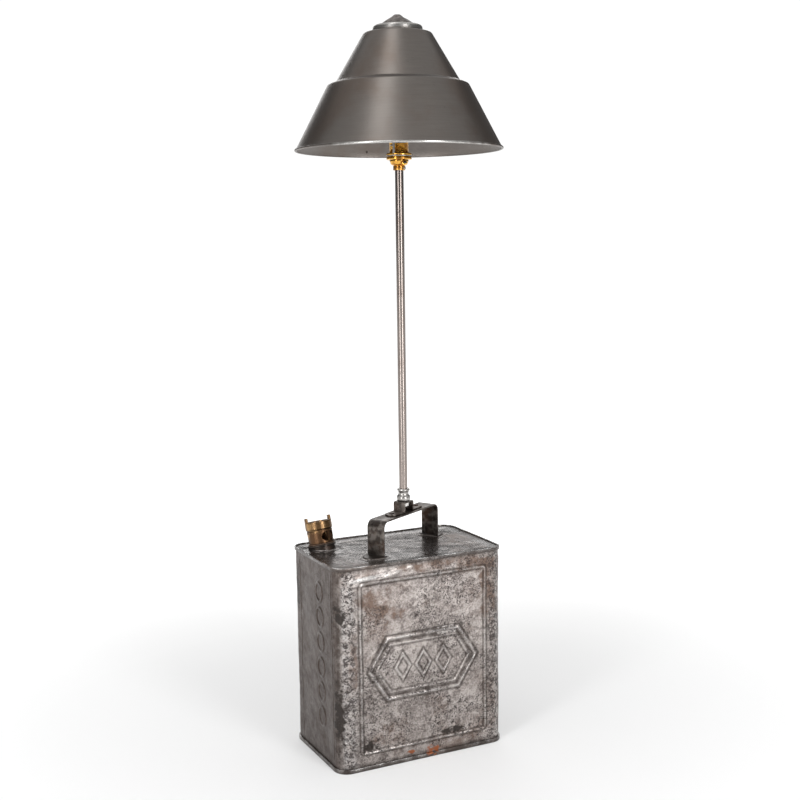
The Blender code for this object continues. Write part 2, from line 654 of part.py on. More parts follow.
# ---- carrier, shade and finial ------------------------------------------------------------------
def make_carrier(materials):
    """Eared ring between the shade rings, bowed wire over the bulb, and the threaded seat on its top."""
    steel = materials["satin_nickel"]
    ring_low = LOWER_RING_TOP + GAP
    ring_high = ring_low + CARRIER_SHEET
    ring = turned("carrier_ring", cylinder_profile(CARRIER_RADIUS, ring_low, ring_high), steel)
    middle = CARRIER_EAR_REACH - CARRIER_EAR_HALF_WIDTH
    plan = arc((middle, 0), CARRIER_EAR_HALF_WIDTH, -pi / 2, pi / 2, 8)
    plan += arc((-middle, 0), CARRIER_EAR_HALF_WIDTH, pi / 2, 3 * pi / 2, 8)
    ears = prism("cutter_ears", plan, ring_low, ring_high)
    ears.rotation_euler.z = HARP_HEADING
    boolean(ring, ears, "UNION")
    boolean(ring, turned("cutter_carrier_bore", cylinder_profile(
        RING_BORE, ring_low - 0.002, ring_high + 0.002), None))
    seat_low = SEAT_TOP - SEAT_SHEET
    turned("carrier_seat", [
        (0.0, seat_low), (SEAT_RADIUS - 0.0005, seat_low), (SEAT_RADIUS, seat_low + 0.0008),
        (SEAT_RADIUS, SEAT_TOP), (STUD_RADIUS, SEAT_TOP), (STUD_RADIUS, SEAT_TOP + STUD_LENGTH),
        (0.0, SEAT_TOP + STUD_LENGTH),
    ], steel, SMALL_SEGMENTS)
    curve = bpy.data.curves.new("carrier_harp", "CURVE")
    curve.dimensions = "3D"
    curve.bevel_depth = HARP_WIRE
    curve.bevel_resolution = 2
    curve.use_fill_caps = True
    foot = ring_high + GAP + HARP_WIRE
    top = seat_low - GAP - HARP_WIRE
    low_knee, side_knee, high_knee = HARP_KNEES
    knees = [(HARP_FOOT, foot), (HARP_FOOT, low_knee), (HARP_REACH, side_knee), (HARP_REACH, high_knee),
             (HARP_REACH / 2, top), (0.0, top)]
    side = rounded_path(knees, HARP_BEND, steps=5)
    points = [Vector((-p.x, 0.0, p.y)) for p in side] + [Vector((p.x, 0.0, p.y)) for p in side[-2::-1]]
    spline = curve.splines.new("POLY")
    spline.points.add(len(points) - 1)
    for place, point in zip(spline.points, points):
        place.co = (*point, 1.0)
    harp = bpy.data.objects.new("carrier_harp", curve)
    harp.rotation_euler.z = HARP_HEADING
    bpy.context.scene.collection.objects.link(harp)
    curve.materials.append(steel)


def shade_outside():
    """Outer line of the shade from its top hole down to the rolled rim, as (radius, height)."""
    bead = 0.0016
    rim_centre = (SHADE_RADIUS - bead, 0.7892)
    line = [(STUD_RADIUS + GAP, 0.9428), (0.0262, 0.9428), (0.0300, 0.9417), (0.0321, 0.9393),
            (0.0328, 0.9362), (0.0346, 0.9346), (0.0425, 0.9331), (0.0468, 0.9298),
            (0.0788, 0.8755), (0.0808, 0.8731), (0.0886, 0.8694), (0.0921, 0.8655),
            (0.1312, 0.7918)]
    line += arc(rim_centre, bead, pi / 2, -pi / 2, 4)
    return line


def inset_line(line, distance):
    """The same line moved towards the inside of the shade by the sheet's thickness."""
    points = [Vector(point) for point in line]
    moved = []
    for index, point in enumerate(points):
        before = points[max(index - 1, 0)]
        after = points[min(index + 1, len(points) - 1)]
        along = (after - before).normalized()
        moved.append((point.x + along.y * distance, point.y - along.x * distance))
    return moved


def make_shade(materials):
    outside = shade_outside()
    cone = outside[:13]
    inside = inset_line(cone, SHADE_SHEET)
    inside[0] = (cone[0][0], cone[0][1] - SHADE_SHEET)
    rim_low = outside[-1]
    inside[-1] = (rim_low[0] - 0.0016, rim_low[1] + 0.0012)
    turned("shade", outside + inside[::-1], materials["spun_steel"], SHADE_SEGMENTS)
    washer_low = cone[0][1] + GAP
    washer_high = washer_low + 0.0008
    bore = STUD_RADIUS + GAP
    turned("finial_washer", [(bore, washer_low), (0.0150, washer_low), (0.0150, washer_high),
                             (bore, washer_high)], materials["leather"], SMALL_SEGMENTS)
    low = washer_high + GAP
    blind = SEAT_TOP + STUD_LENGTH + GAP
    turned("finial", [
        (bore, low), (0.0196, low), (0.0204, low + 0.0008), (0.0186, low + 0.0024),
        (0.0140, low + 0.0046), (0.0098, low + 0.0070), (0.0070, low + 0.0098), (0.0034, low + 0.0120),
        (0.0, TOTAL_HEIGHT), (0.0, blind), (bore, blind),
    ], materials["dark_steel"], SMALL_SEGMENTS)


def main():
    for obj in list(bpy.data.objects):
        bpy.data.objects.remove(obj, do_unlink=True)
    materials = {name: make_material(name, finish) for name, finish in FINISHES.items()}
    neck = neck_frame()
    make_can(materials, neck)
    make_filler(materials, neck)
    make_handle(materials)
    make_stem(materials)
    make_holder(materials)
    make_bulb(materials)
    make_carrier(materials)
    make_shade(materials)
    bpy.context.view_layer.update()


main()
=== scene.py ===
"""Looks of the petrol-can table lamp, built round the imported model.  Metres, +Z up."""
import json
from math import atan2, cos, pi, radians, sin, sqrt, tan

import bmesh
import bpy
import numpy as np
from mathutils import Matrix, Vector


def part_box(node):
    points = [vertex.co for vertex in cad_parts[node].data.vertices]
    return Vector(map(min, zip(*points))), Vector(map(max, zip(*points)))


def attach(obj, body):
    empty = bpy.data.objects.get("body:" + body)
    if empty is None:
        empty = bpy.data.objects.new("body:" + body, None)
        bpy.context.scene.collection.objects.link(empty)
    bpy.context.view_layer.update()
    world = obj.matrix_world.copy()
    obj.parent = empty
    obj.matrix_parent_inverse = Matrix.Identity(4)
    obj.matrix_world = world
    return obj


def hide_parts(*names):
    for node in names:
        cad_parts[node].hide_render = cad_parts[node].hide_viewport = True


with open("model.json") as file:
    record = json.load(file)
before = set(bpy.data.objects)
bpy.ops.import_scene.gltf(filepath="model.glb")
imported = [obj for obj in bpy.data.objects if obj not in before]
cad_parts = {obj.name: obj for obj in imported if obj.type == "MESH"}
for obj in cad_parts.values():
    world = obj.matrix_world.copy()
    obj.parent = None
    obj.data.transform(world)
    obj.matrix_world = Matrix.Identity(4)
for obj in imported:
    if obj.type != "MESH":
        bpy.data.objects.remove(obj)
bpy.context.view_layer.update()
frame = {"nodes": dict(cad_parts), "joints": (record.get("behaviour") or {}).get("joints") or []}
CAD = frame["nodes"]
JOINTS = {joint["name"]: joint for joint in frame["joints"]}

# ---- places read from the frame -----------------------------------------------------------------
BODY_LOW, BODY_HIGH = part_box("can_body")
CAN_MIDDLE = Vector(((BODY_LOW.x + BODY_HIGH.x) / 2, (BODY_LOW.y + BODY_HIGH.y) / 2, 0.0))
CAN_HALF_X = (BODY_HIGH.x - BODY_LOW.x) / 2
CAN_HALF_Y = (BODY_HIGH.y - BODY_LOW.y) / 2
CAN_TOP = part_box("can_top")[1].z
CAN_CORNER = 0.017
CAN_SHEET = 0.0008
PLATE_TOP = CAN_TOP - 0.0016
FLAT_X = CAN_HALF_X - CAN_CORNER
FLAT_Y = CAN_HALF_Y - CAN_CORNER
QUARTER = CAN_CORNER * pi / 2
AROUND = 4 * (FLAT_X + FLAT_Y + QUARTER)
SIDE_MIDDLE = FLAT_X + QUARTER + FLAT_Y
BORDER_HALF, BORDER_LOW, BORDER_HIGH = 0.0912, 0.023, 0.2465
SEAM_COLUMNS = 420
HANDLE_LOW, HANDLE_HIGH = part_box("handle")
HANDLE_HEADING = radians(30)
HANDLE_HALF_SPAN = 0.066
HANDLE_WIDTH = 0.026
STRAP_SHEET = 0.0020
FOOT_SHEET = 0.0016
FOOT_LENGTH = 0.021
FOOT_HALF_WIDTH = 0.0150
FOOT_BACK = 0.0030
BRACKET_REACH = 0.0375
BRACKET_WIDTH = 0.018
HUMP_HALF = 0.0100
RIVET_OFFSET = 0.0295
RIVET_HEAD = 0.0036
RIVET_SHANK = 0.0018
NECK_AXIS = Vector(JOINTS["cap_turn"]["axis"])
NECK_SEAT = Vector(JOINTS["cap_turn"]["pos_m"])
NECK_BORE = 0.0152
NECK_RADIUS = 0.0168
NECK_LIP = 0.0190
NECK_DEPTH = 0.0165
CAP_FOOT = 0.0018
CAP_HEIGHT = 0.0310
CAP_BORE = 0.0140
CAP_PLUG = 0.0147
CAP_RING_LOW = 0.0200
CAP_RING_RADIUS = 0.0180
CAP_FLOOR = 0.0043
LUG_REACH = 0.01785
LUG_HALF_WIDTH = 0.0034
LUG_HEADINGS = (radians(175), radians(-5))
WINDOW_MIDDLE = 0.0105
WINDOW_HEADINGS = (radians(-68), radians(112))
TUBE_LOW, TUBE_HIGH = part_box("stem_tube")
ENTRY_RADIUS = 0.0058
DOME_RADIUS = 0.0120
SKIRT_RADIUS = 0.0124
RING_BORE = 0.0127
SWITCH_HEIGHT = (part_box("switch_bar")[0].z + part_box("switch_bar")[1].z) / 2
SWITCH_RADIUS = 0.0015
SWITCH_BORE = 0.0018
BUSH_NEAR, BUSH_FAR, BUSH_RADIUS = 0.0123, 0.0146, 0.0030
PIN_HEIGHT = 0.7945
PIN_REACH = 0.0123
PIN_RADIUS = 0.0010
BULB_CAP_RADIUS = 0.0110
GLASS_WALL = 0.001
HARP_HEADING = radians(42.6)
CARRIER_RADIUS = 0.0160
EAR_HALF_WIDTH = 0.0040
EAR_MIDDLE = 0.0175
STUD_LENGTH = 0.0100
STUD_RADIUS = 0.0028
SEAT_RADIUS = 0.0095
RIM_HEIGHT = 0.7892
RIM_BEAD = 0.0016
SHADE_SHEET = 0.0010
TOP_HOLE = 0.0031
SHADE_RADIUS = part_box("shade")[1].x
SHADE_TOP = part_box("shade")[1].z
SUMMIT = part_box("finial")[1].z

# ---- light and camera ---------------------------------------------------------------------------
SURROUND = 0.14
SEEN_WHITE = 1.05
SKY_STRENGTH = 1.35
FLOOR_REACH = 60.0
FLOOR_DROP = 0.0002
# name, heading from the front towards +X in degrees, height, distance, width, height of box, power
SOFTBOXES = [
    ("key", 10.0, 1.00, 2.0, 0.52, 1.9, 27.0),
    ("side", -62.0, 0.93, 1.9, 0.42, 1.8, 16.5),
    ("back", 160.0, 1.5, 2.2, 1.6, 1.2, 12.0),
]
CAMERA_HEADING = radians(26.4154)
CAMERA_PITCH = radians(8.0837)
CAMERA_ROLL = radians(0.8)
CAMERA_DISTANCE = 1.587
CAMERA_HEIGHT = 0.6731

# ---- colours ------------------------------------------------------------------------------------
TIN_LIGHT = (0.49, 0.445, 0.42)
TIN_MIDDLE = (0.300, 0.264, 0.245)
TIN_DARK = (0.125, 0.102, 0.094)
TIN_WORN = (0.80, 0.79, 0.78)
# Colour of the painted shade on the can's narrow side faces.
PAINTED_SIDE_SHADE = (0.056, 0.038, 0.030)
PATINA = (0.150, 0.094, 0.068)
PIT = (0.036, 0.027, 0.025)
# Dark of the crevice field: grime, with painted shade beside the ridges and a painted dark reflection at the
# corners.
GRIME_AND_PAINTED_SHADE = (0.030, 0.020, 0.015)
RUST = (0.33, 0.095, 0.030)
SOOT = (0.022, 0.016, 0.013)
# Light colour of the shade's painted rim highlight and polished top collar.
POLISH_AND_HIGHLIGHT = (0.55, 0.54, 0.52)
WORN_STEEL = (0.22, 0.195, 0.175)
STEEL_PIT = (0.020, 0.016, 0.014)


# ---- material builder ---------------------------------------------------------------------------
def scaled(colour, share):
    return tuple(c * share for c in colour)


class Look:
    """One procedural material; every texture is placed by the object's own coordinates."""

    def __init__(self, name):
        self.material = bpy.data.materials.new(name)
        self.material.use_nodes = True
        self.tree = self.material.node_tree
        self.shader = self.tree.nodes["Principled BSDF"]
        self.place = self.node("ShaderNodeTexCoord").outputs["Object"]

    def node(self, kind, sockets=None, **settings):
        node = self.tree.nodes.new(kind)
        for key, value in settings.items():
            setattr(node, key, value)
        for key, value in (sockets or {}).items():
            if isinstance(value, bpy.types.NodeSocket):
                self.tree.links.new(value, node.inputs[key])
            else:
                node.inputs[key].default_value = value
        return node

    def set(self, **values):
        """Set or link the shader's sockets; underscores stand for spaces."""
        for key, value in values.items():
            socket = self.shader.inputs[key.replace("_", " ")]
            if isinstance(value, bpy.types.NodeSocket):
                self.tree.links.new(value, socket)
            elif isinstance(value, tuple):
                socket.default_value = (*value, 1.0)
            else:
                socket.default_value = value
        return self

    def around(self, turn_scale, height_scale):
        """Coordinates for lines that run round Z: slow round the axis, quick along it."""
        split = self.node("ShaderNodeSeparateXYZ", {0: self.place})
        flat = self.node("ShaderNodeCombineXYZ", {0: split.outputs[0], 1: split.outputs[1]}).outputs[0]
        unit = self.node("ShaderNodeVectorMath", {0: flat}, operation="NORMALIZE").outputs[0]
        wide = self.node("ShaderNodeVectorMath", {0: unit, "Scale": turn_scale}, operation="SCALE").outputs[0]
        tall = self.math("MULTIPLY", split.outputs[2], height_scale)
        up = self.node("ShaderNodeCombineXYZ", {2: tall}).outputs[0]
        return self.node("ShaderNodeVectorMath", {0: wide, 1: up}, operation="ADD").outputs[0]

    def noise(self, scale, detail=4.0, roughness=0.55, place=None, distortion=0.0):
        return self.node("ShaderNodeTexNoise", {
            "Vector": place or self.place, "Scale": scale, "Detail": detail, "Roughness": roughness,
            "Distortion": distortion}).outputs["Fac"]

    def cells(self, scale):
        return self.node("ShaderNodeTexVoronoi", {"Vector": self.place, "Scale": scale}).outputs["Distance"]

    def level(self, value, low, high, to_low=0.0, to_high=1.0):
        return self.node("ShaderNodeMapRange", {0: value, 1: low, 2: high, 3: to_low, 4: to_high},
                         interpolation_type="SMOOTHSTEP").outputs[0]

    def math(self, operation, a, b=0.0):
        return self.node("ShaderNodeMath", {0: a, 1: b}, operation=operation).outputs[0]

    def times(self, *values):
        result = values[0]
        for value in values[1:]:
            result = self.math("MULTIPLY", result, value)
        return result

    def most(self, *values):
        result = values[0]
        for value in values[1:]:
            result = self.math("MAXIMUM", result, value)
        return result

    def blend(self, factor, a, b):
        node = self.node("ShaderNodeMix", data_type="RGBA")
        for index, value in ((0, factor), (6, a), (7, b)):
            if isinstance(value, bpy.types.NodeSocket):
                self.tree.links.new(value, node.inputs[index])
            elif isinstance(value, tuple):
                node.inputs[index].default_value = (*value, 1.0)
            else:
                node.inputs[index].default_value = value
        return node.outputs[2]

    def attribute(self, name):
        return self.node("ShaderNodeAttribute", attribute_name=name).outputs["Fac"]

    def spot(self, centre, size, ragged=0.35, scale=60.0):
        """Soft ragged patch round a point of the object, 1 in its middle."""
        near = self.node("ShaderNodeVectorMath", {0: self.place, 1: centre}, operation="SUBTRACT").outputs[0]
        shaped = self.node("ShaderNodeVectorMath", {0: near, 1: tuple(1 / s for s in size)},
                           operation="MULTIPLY").outputs[0]
        far = self.node("ShaderNodeVectorMath", {0: shaped}, operation="LENGTH").outputs[1]
        torn = self.math("ADD", far, self.level(self.noise(scale, 5.0), 0.3, 0.7, -ragged, ragged))
        return self.level(torn, 1.0, 0.45)

    def bump(self, height, depth, before=None):
        sockets = {"Height": height, "Distance": depth, "Strength": 1.0}
        if before is not None:
            sockets["Normal"] = before
        return self.node("ShaderNodeBump", sockets).outputs[0]


# ---- mesh helpers -------------------------------------------------------------------------------
def link(name, mesh, look=None, sharp=35):
    mesh.shade_smooth()
    mesh.set_sharp_from_angle(angle=radians(sharp))
    obj = bpy.data.objects.new(name, mesh)
    bpy.context.scene.collection.objects.link(obj)
    if look is not None:
        mesh.materials.append(look.material)
    return obj


def place(obj, body, slot, *nodes):
    """Hang a finished piece on its body and hide the CAD nodes that it stands for; slot, the finish's name, is
    not used.
    """
    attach(obj, body)
    if nodes:
        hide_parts(*nodes)
    return obj


def grid_mesh(name, points, look=None, fields=None, cap_start=False, cap_end=False, wrap=False, sharp=35):
    """Mesh of a (rows, columns, 3) grid, closed round its columns.  wrap also joins last row to first."""
    rows, columns = points.shape[:2]
    verts = points.reshape(-1, 3)
    row, column = np.meshgrid(np.arange(rows if wrap else rows - 1), np.arange(columns), indexing="ij")
    after_row = (row + 1) % rows
    after = (column + 1) % columns
    faces = np.stack([row * columns + column, row * columns + after, after_row * columns + after,
                      after_row * columns + column], axis=-1).reshape(-1, 4).tolist()
    extra = []
    for capped, index in ((cap_start, 0), (cap_end, rows - 1)):
        if not capped:
            continue
        middle = len(verts) + len(extra)
        extra.append(points[index].mean(axis=0))
        for k in range(columns):
            pair = (index * columns + k, index * columns + (k + 1) % columns)
            faces.append([middle, *(pair if index else pair[::-1])])
    if extra:
        verts = np.vstack([verts, np.array(extra)])
    mesh = bpy.data.meshes.new(name)
    mesh.from_pydata(verts.tolist(), [], faces)
    for field, values in (fields or {}).items():
        flat = np.zeros(len(verts), np.float32)
        flat[:rows * columns] = values.reshape(-1)
        mesh.attributes.new(field, "FLOAT", "POINT").data.foreach_set("value", flat)
    tidy = bmesh.new()
    tidy.from_mesh(mesh)
    bmesh.ops.recalc_face_normals(tidy, faces=tidy.faces)
    tidy.to_mesh(mesh)
    tidy.free()
    return link(name, mesh, look, sharp)


def turned(name, profile, look=None, segments=96, closed=True, sharp=35, wobble=None):
    """Turn (radius, height) points about Z: a closed loop, or a solid whose two ends are capped."""
    turn = np.arange(segments) * 2 * pi / segments
    radius = np.array([point[0] for point in profile])[:, None]
    height = np.array([point[1] for point in profile])[:, None]
    points = np.stack([radius * np.cos(turn), radius * np.sin(turn), height + 0 * turn], axis=-1)
    if wobble is not None:
        points = wobble(points)
    return grid_mesh(name, points, look, cap_start=not closed, cap_end=not closed, wrap=closed, sharp=sharp)


def arc(centre, radius, start, end, steps):
    angles = [start + (end - start) * step / steps for step in range(steps + 1)]
    return [(centre[0] + radius * cos(a), centre[1] + radius * sin(a)) for a in angles]


def rounded(corners, radii, steps=6):
    """Line through (a, b) corner points, each inner corner rounded to its radius."""
    if not isinstance(radii, (list, tuple)):
        radii = [radii] * (len(corners) - 2)
    path = [tuple(corners[0])]
    for before, corner, after, radius in zip(corners, corners[1:], corners[2:], radii):
        corner = Vector(corner)
        back = (Vector(before) - corner).normalized()
        ahead = (Vector(after) - corner).normalized()
        half = back.angle(ahead) / 2
        reach = radius / tan(half)
        centre = corner + (back + ahead).normalized() * radius / sin(half)
        first = corner + back * reach - centre
        side = 1.0 if first.cross(corner + ahead * reach - centre) > 0 else -1.0
        for step in range(steps + 1):
            spot = centre + Matrix.Rotation(side * (pi - 2 * half) * step / steps, 2) @ first
            path.append((spot.x, spot.y))
    path.append(tuple(corners[-1]))
    return path


def divided(path, longest):
    """The same line with extra points, so that no stretch is longer than the given length."""
    result = [path[0]]
    for a, b in zip(path, path[1:]):
        count = max(1, int(np.ceil(np.hypot(b[0] - a[0], b[1] - a[1]) / longest)))
        result += [(a[0] + (b[0] - a[0]) * k / count, a[1] + (b[1] - a[1]) * k / count)
                   for k in range(1, count + 1)]
    return result


def ripple(points, size, seed, waves=14):
    """Smooth seeded unevenness between about -1 and 1, with bumps of about the given size."""
    rng = np.random.default_rng(seed)
    total = np.zeros(points.shape[:-1])
    for _ in range(waves):
        direction = rng.normal(size=3)
        direction *= 2 * pi / (size * rng.uniform(1.4, 3.2)) / np.linalg.norm(direction)
        total += np.sin(points @ direction + rng.uniform(0, 2 * pi))
    return total / sqrt(waves) / 1.4


def ridge(distance, half_width):
    """Rounded ridge, 1 on its line and 0 beyond its half width."""
    return 0.5 + 0.5 * np.cos(pi * np.clip(np.abs(distance) / half_width, 0, 1))


def smooth(value, low, high):
    t = np.clip((value - low) / (high - low), 0, 1)
    return t * t * (3 - 2 * t)


def add_bevel(obj, width, segments=2, angle=30):
    bevel = obj.modifiers.new("bevel", "BEVEL")
    bevel.width = width
    bevel.segments = segments
    bevel.limit_method = "ANGLE"
    bevel.angle_limit = radians(angle)
    return obj


def apply_modifiers(obj):
    """Replace the object's mesh by the evaluated one, so that nothing is left to compute."""
    bpy.context.view_layer.update()
    evaluated = obj.evaluated_get(bpy.context.evaluated_depsgraph_get())
    mesh = bpy.data.meshes.new_from_object(evaluated)
    obj.modifiers.clear()
    obj.data = mesh
    mesh.shade_smooth()
    mesh.set_sharp_from_angle(angle=radians(35))
    return obj


def cut(obj, cutters, operation="DIFFERENCE"):
    """Boolean the cutters into the object, then remove them."""
    for cutter in cutters:
        modifier = obj.modifiers.new("cut", "BOOLEAN")
        modifier.operation = operation
        modifier.solver = "EXACT"
        modifier.object = cutter
    apply_modifiers(obj)
    for cutter in cutters:
        bpy.data.objects.remove(cutter, do_unlink=True)
    return obj


def prism(name, outline, low, high):
    bm = bmesh.new()
    face = bm.faces.new([bm.verts.new((x, y, low)) for x, y in outline])
    grown = bmesh.ops.extrude_face_region(bm, geom=[face])
    top = [item for item in grown["geom"] if isinstance(item, bmesh.types.BMVert)]
    bmesh.ops.translate(bm, verts=top, vec=(0, 0, high - low))
    bmesh.ops.recalc_face_normals(bm, faces=bm.faces)
    mesh = bpy.data.meshes.new(name)
    bm.to_mesh(mesh)
    bm.free()
    return link(name, mesh)


def bake_place(obj, matrix):
    """Move a piece by changing its mesh, so that its object stays at the origin."""
    obj.data.transform(matrix)
    return obj


# ---- materials ----------------------------------------------------------------------------------
def tin_look(name, tone, pit_amount, patina_amount, roughness, coat, browns=(), rusts=(), blacks=()):
    """Old tinplate: grey metal, brown patina, dark pitting and bright worn high places."""
    look = Look(name)
    wear = look.attribute("wear")
    crevice = look.attribute("crevice")
    painted_shade = look.attribute("painted_shade")
    unshaded = look.math("SUBTRACT", 1.0, painted_shade)
    cloud = look.noise(14.0, 6.0, 0.6)
    mottle = look.noise(85.0, 6.0, 0.68)
    fleck = look.noise(330.0, 5.0, 0.7)
    light, middle, dark = (scaled(colour, tone) for colour in (TIN_LIGHT, TIN_MIDDLE, TIN_DARK))
    colour = look.blend(look.level(cloud, 0.36, 0.64), middle, light)
    colour = look.blend(look.level(mottle, 0.42, 0.62, 0.0, 0.85), colour, dark)
    colour = look.blend(look.level(fleck, 0.36, 0.60, 0.55, 0.0), colour, scaled(light, 1.25))
    brown = look.level(look.noise(10.0, 7.0, 0.64, distortion=0.4), 0.46, 0.68, 0.0, patina_amount)
    for centre, size in browns:
        brown = look.most(brown, look.spot(centre, size, 0.45))
    brown = look.times(brown, look.level(mottle, 0.32, 0.60, 0.30, 0.90))
    colour = look.blend(brown, colour, PATINA)
    colour = look.blend(look.times(wear, look.level(fleck, 0.30, 0.55, 0.45, 1.0)), colour, TIN_WORN)
    patches = look.level(look.noise(19.0, 5.0, 0.62, distortion=0.3), 0.42, 0.60)
    grain = look.noise(560.0, 3.0, 0.6, distortion=0.5)
    coarse = look.noise(245.0, 5.0, 0.68, distortion=0.8)
    pits = look.most(look.times(look.level(grain, 0.53, 0.60), look.level(patches, 0.0, 0.8, 0.40, 1.0)),
                     look.times(look.level(coarse, 0.56, 0.61), look.level(patches, 0.1, 0.9, 0.15, 1.0)))
    pits = look.most(pits, look.times(look.attribute("speckle"), look.level(coarse, 0.49, 0.55)))
    pits = look.times(pits, pit_amount, look.level(unshaded, 0.0, 1.0, 0.55, 1.0))
    colour = look.blend(look.times(pits, 0.93), colour, PIT)
    # Darkens along the crevice field: grime in the seams, grime and painted shade in the hollows beside the
    # ridges, grime and a painted dark reflection in the corner bands.
    dirt = look.times(crevice, look.level(mottle, 0.30, 0.55, 0.55, 1.0))
    colour = look.blend(look.times(dirt, 0.95), colour, GRIME_AND_PAINTED_SHADE)
    # Painted shade: the narrow side faces are blended towards a dark brown-grey.
    colour = look.blend(look.times(painted_shade, look.level(mottle, 0.35, 0.65, 0.82, 0.97)), colour, PAINTED_SIDE_SHADE)
    for spots, ragged, scale, stain in ((rusts, 0.6, 160.0, RUST), (blacks, 0.55, 110.0, SOOT)):
        for centre, size in spots:
            colour = look.blend(look.times(look.spot(centre, size, ragged, scale), 0.9), colour, stain)
    rough = look.level(cloud, 0.3, 0.7, roughness - 0.05, roughness + 0.09)
    rough = look.math("ADD", rough, look.times(look.most(brown, pits), 0.20))
    rough = look.math("SUBTRACT", rough, look.times(wear, 0.12))
    dull = look.math("SUBTRACT", 1.0, look.times(look.most(pits, look.most(brown, dirt)), 0.55))
    relief = look.math("SUBTRACT", look.times(mottle, 0.7), pits)
    normal = look.bump(relief, 0.00030, look.bump(look.noise(38.0, 3.0), 0.0013))
    look.set(Base_Color=colour, Roughness=rough, Metallic=dull, Normal=normal,
             Coat_Weight=coat, Coat_Roughness=0.14)
    return look


def spun_look(name, base, warm, roughness):
    """Spun steel: fine lines round the axis, with slow cloudy changes of tone."""
    look = Look(name)
    fine = look.noise(1.0, 3.0, 0.7, place=look.around(3.5, 3400.0))
    broad = look.noise(1.0, 4.0, 0.6, place=look.around(2.2, 520.0))
    cloud = look.noise(9.0, 5.0, 0.6)
    stain = look.noise(140.0, 5.0, 0.7)
    height = look.node("ShaderNodeSeparateXYZ", {0: look.place}).outputs[2]
    # Painted highlight: a brighter, smoother band along the front of the rim only. The top collar is lighter
    # and smoother, partly polish and partly painted highlight.
    polish_and_highlight = look.times(look.level(height, RIM_HEIGHT + 0.0008, RIM_HEIGHT + 0.0018, 1.0, 0.0),
                          look.spot((-0.060, -0.120, RIM_HEIGHT), (0.140, 0.075, 0.050), 0.2))
    polish_and_highlight = look.most(polish_and_highlight, look.level(height, SHADE_TOP - 0.0080, SHADE_TOP - 0.0040, 0.0, 0.8))
    colour = look.blend(look.level(broad, 0.32, 0.68), scaled(base, 0.92), base)
    colour = look.blend(look.level(fine, 0.35, 0.65, 0.0, 0.25), colour, scaled(base, 1.30))
    browner = look.most(look.level(cloud, 0.44, 0.68, 0.0, 0.85),
                        look.times(look.spot((0.085, -0.085, 0.860), (0.095, 0.080, 0.130), 0.2, 12.0), 0.9))
    colour = look.blend(browner, colour, warm)
    colour = look.blend(look.level(stain, 0.60, 0.74, 0.0, 0.35), colour, scaled(base, 0.6))
    colour = look.blend(look.times(polish_and_highlight, 0.8), colour, POLISH_AND_HIGHLIGHT)
    rough = look.math("ADD", look.level(fine, 0.3, 0.7, roughness - 0.03, roughness + 0.05),
                      look.level(cloud, 0.3, 0.7, -0.02, 0.03))
    rough = look.math("SUBTRACT", rough, look.times(polish_and_highlight, 0.12))
    normal = look.bump(look.math("ADD", fine, broad), 0.000012)
    look.set(Base_Color=colour, Roughness=rough, Metallic=1.0, Normal=normal,
             Coat_Weight=0.10, Coat_Roughness=0.30)
    return look


def dark_steel_look(name, base=(0.036, 0.029, 0.025), rust=(0.085, 0.046, 0.030)):
    """Brown-black patinated steel with grey worn edges."""
    look = Look(name)
    cloud = look.noise(48.0, 6.0, 0.62, distortion=0.6)
    grain = look.noise(520.0, 4.0, 0.6)
    colour = look.blend(look.level(cloud, 0.35, 0.65), base, scaled(base, 1.7))
    rusty = look.times(look.level(look.noise(34.0, 6.0, 0.65), 0.46, 0.66), 0.8)
    colour = look.blend(rusty, colour, rust)
    colour = look.blend(look.level(grain, 0.56, 0.68, 0.0, 0.6), colour, STEEL_PIT)
    worn = look.times(look.attribute("wear"), look.level(look.noise(120.0, 4.0), 0.40, 0.64))
    colour = look.blend(look.times(worn, 0.7), colour, WORN_STEEL)
    rough = look.math("ADD", look.level(cloud, 0.3, 0.7, 0.34, 0.48), look.times(rusty, 0.15))
    normal = look.bump(grain, 0.00006, look.bump(cloud, 0.00030))
    look.set(Base_Color=colour, Roughness=rough, Normal=normal, Metallic=0.9,
             Coat_Weight=0.12, Coat_Roughness=0.18)
    return look


def tube_look():
    look = Look("tube_steel")
    lines = look.noise(1.0, 3.0, 0.6, place=look.around(30.0, 9.0))
    cloud = look.noise(26.0, 4.0)
    colour = look.blend(look.level(lines, 0.3, 0.7), (0.220, 0.187, 0.170), (0.265, 0.232, 0.214))
    colour = look.blend(look.level(cloud, 0.50, 0.70, 0.0, 0.6), colour, (0.170, 0.130, 0.110))
    look.set(Base_Color=colour, Metallic=1.0, Roughness=look.level(cloud, 0.3, 0.7, 0.17, 0.22))
    return look


def nickel_look():
    look = Look("satin_nickel")
    lines = look.noise(1.0, 3.0, 0.6, place=look.around(1.6, 1900.0))
    cloud = look.noise(90.0, 5.0)
    colour = look.blend(look.level(cloud, 0.4, 0.65), (0.36, 0.346, 0.330), (0.50, 0.487, 0.470))
    look.set(Base_Color=colour, Metallic=1.0, Roughness=look.level(lines, 0.3, 0.7, 0.24, 0.36),
             Normal=look.bump(look.math("ADD", lines, look.times(cloud, 0.5)), 0.00003))
    return look


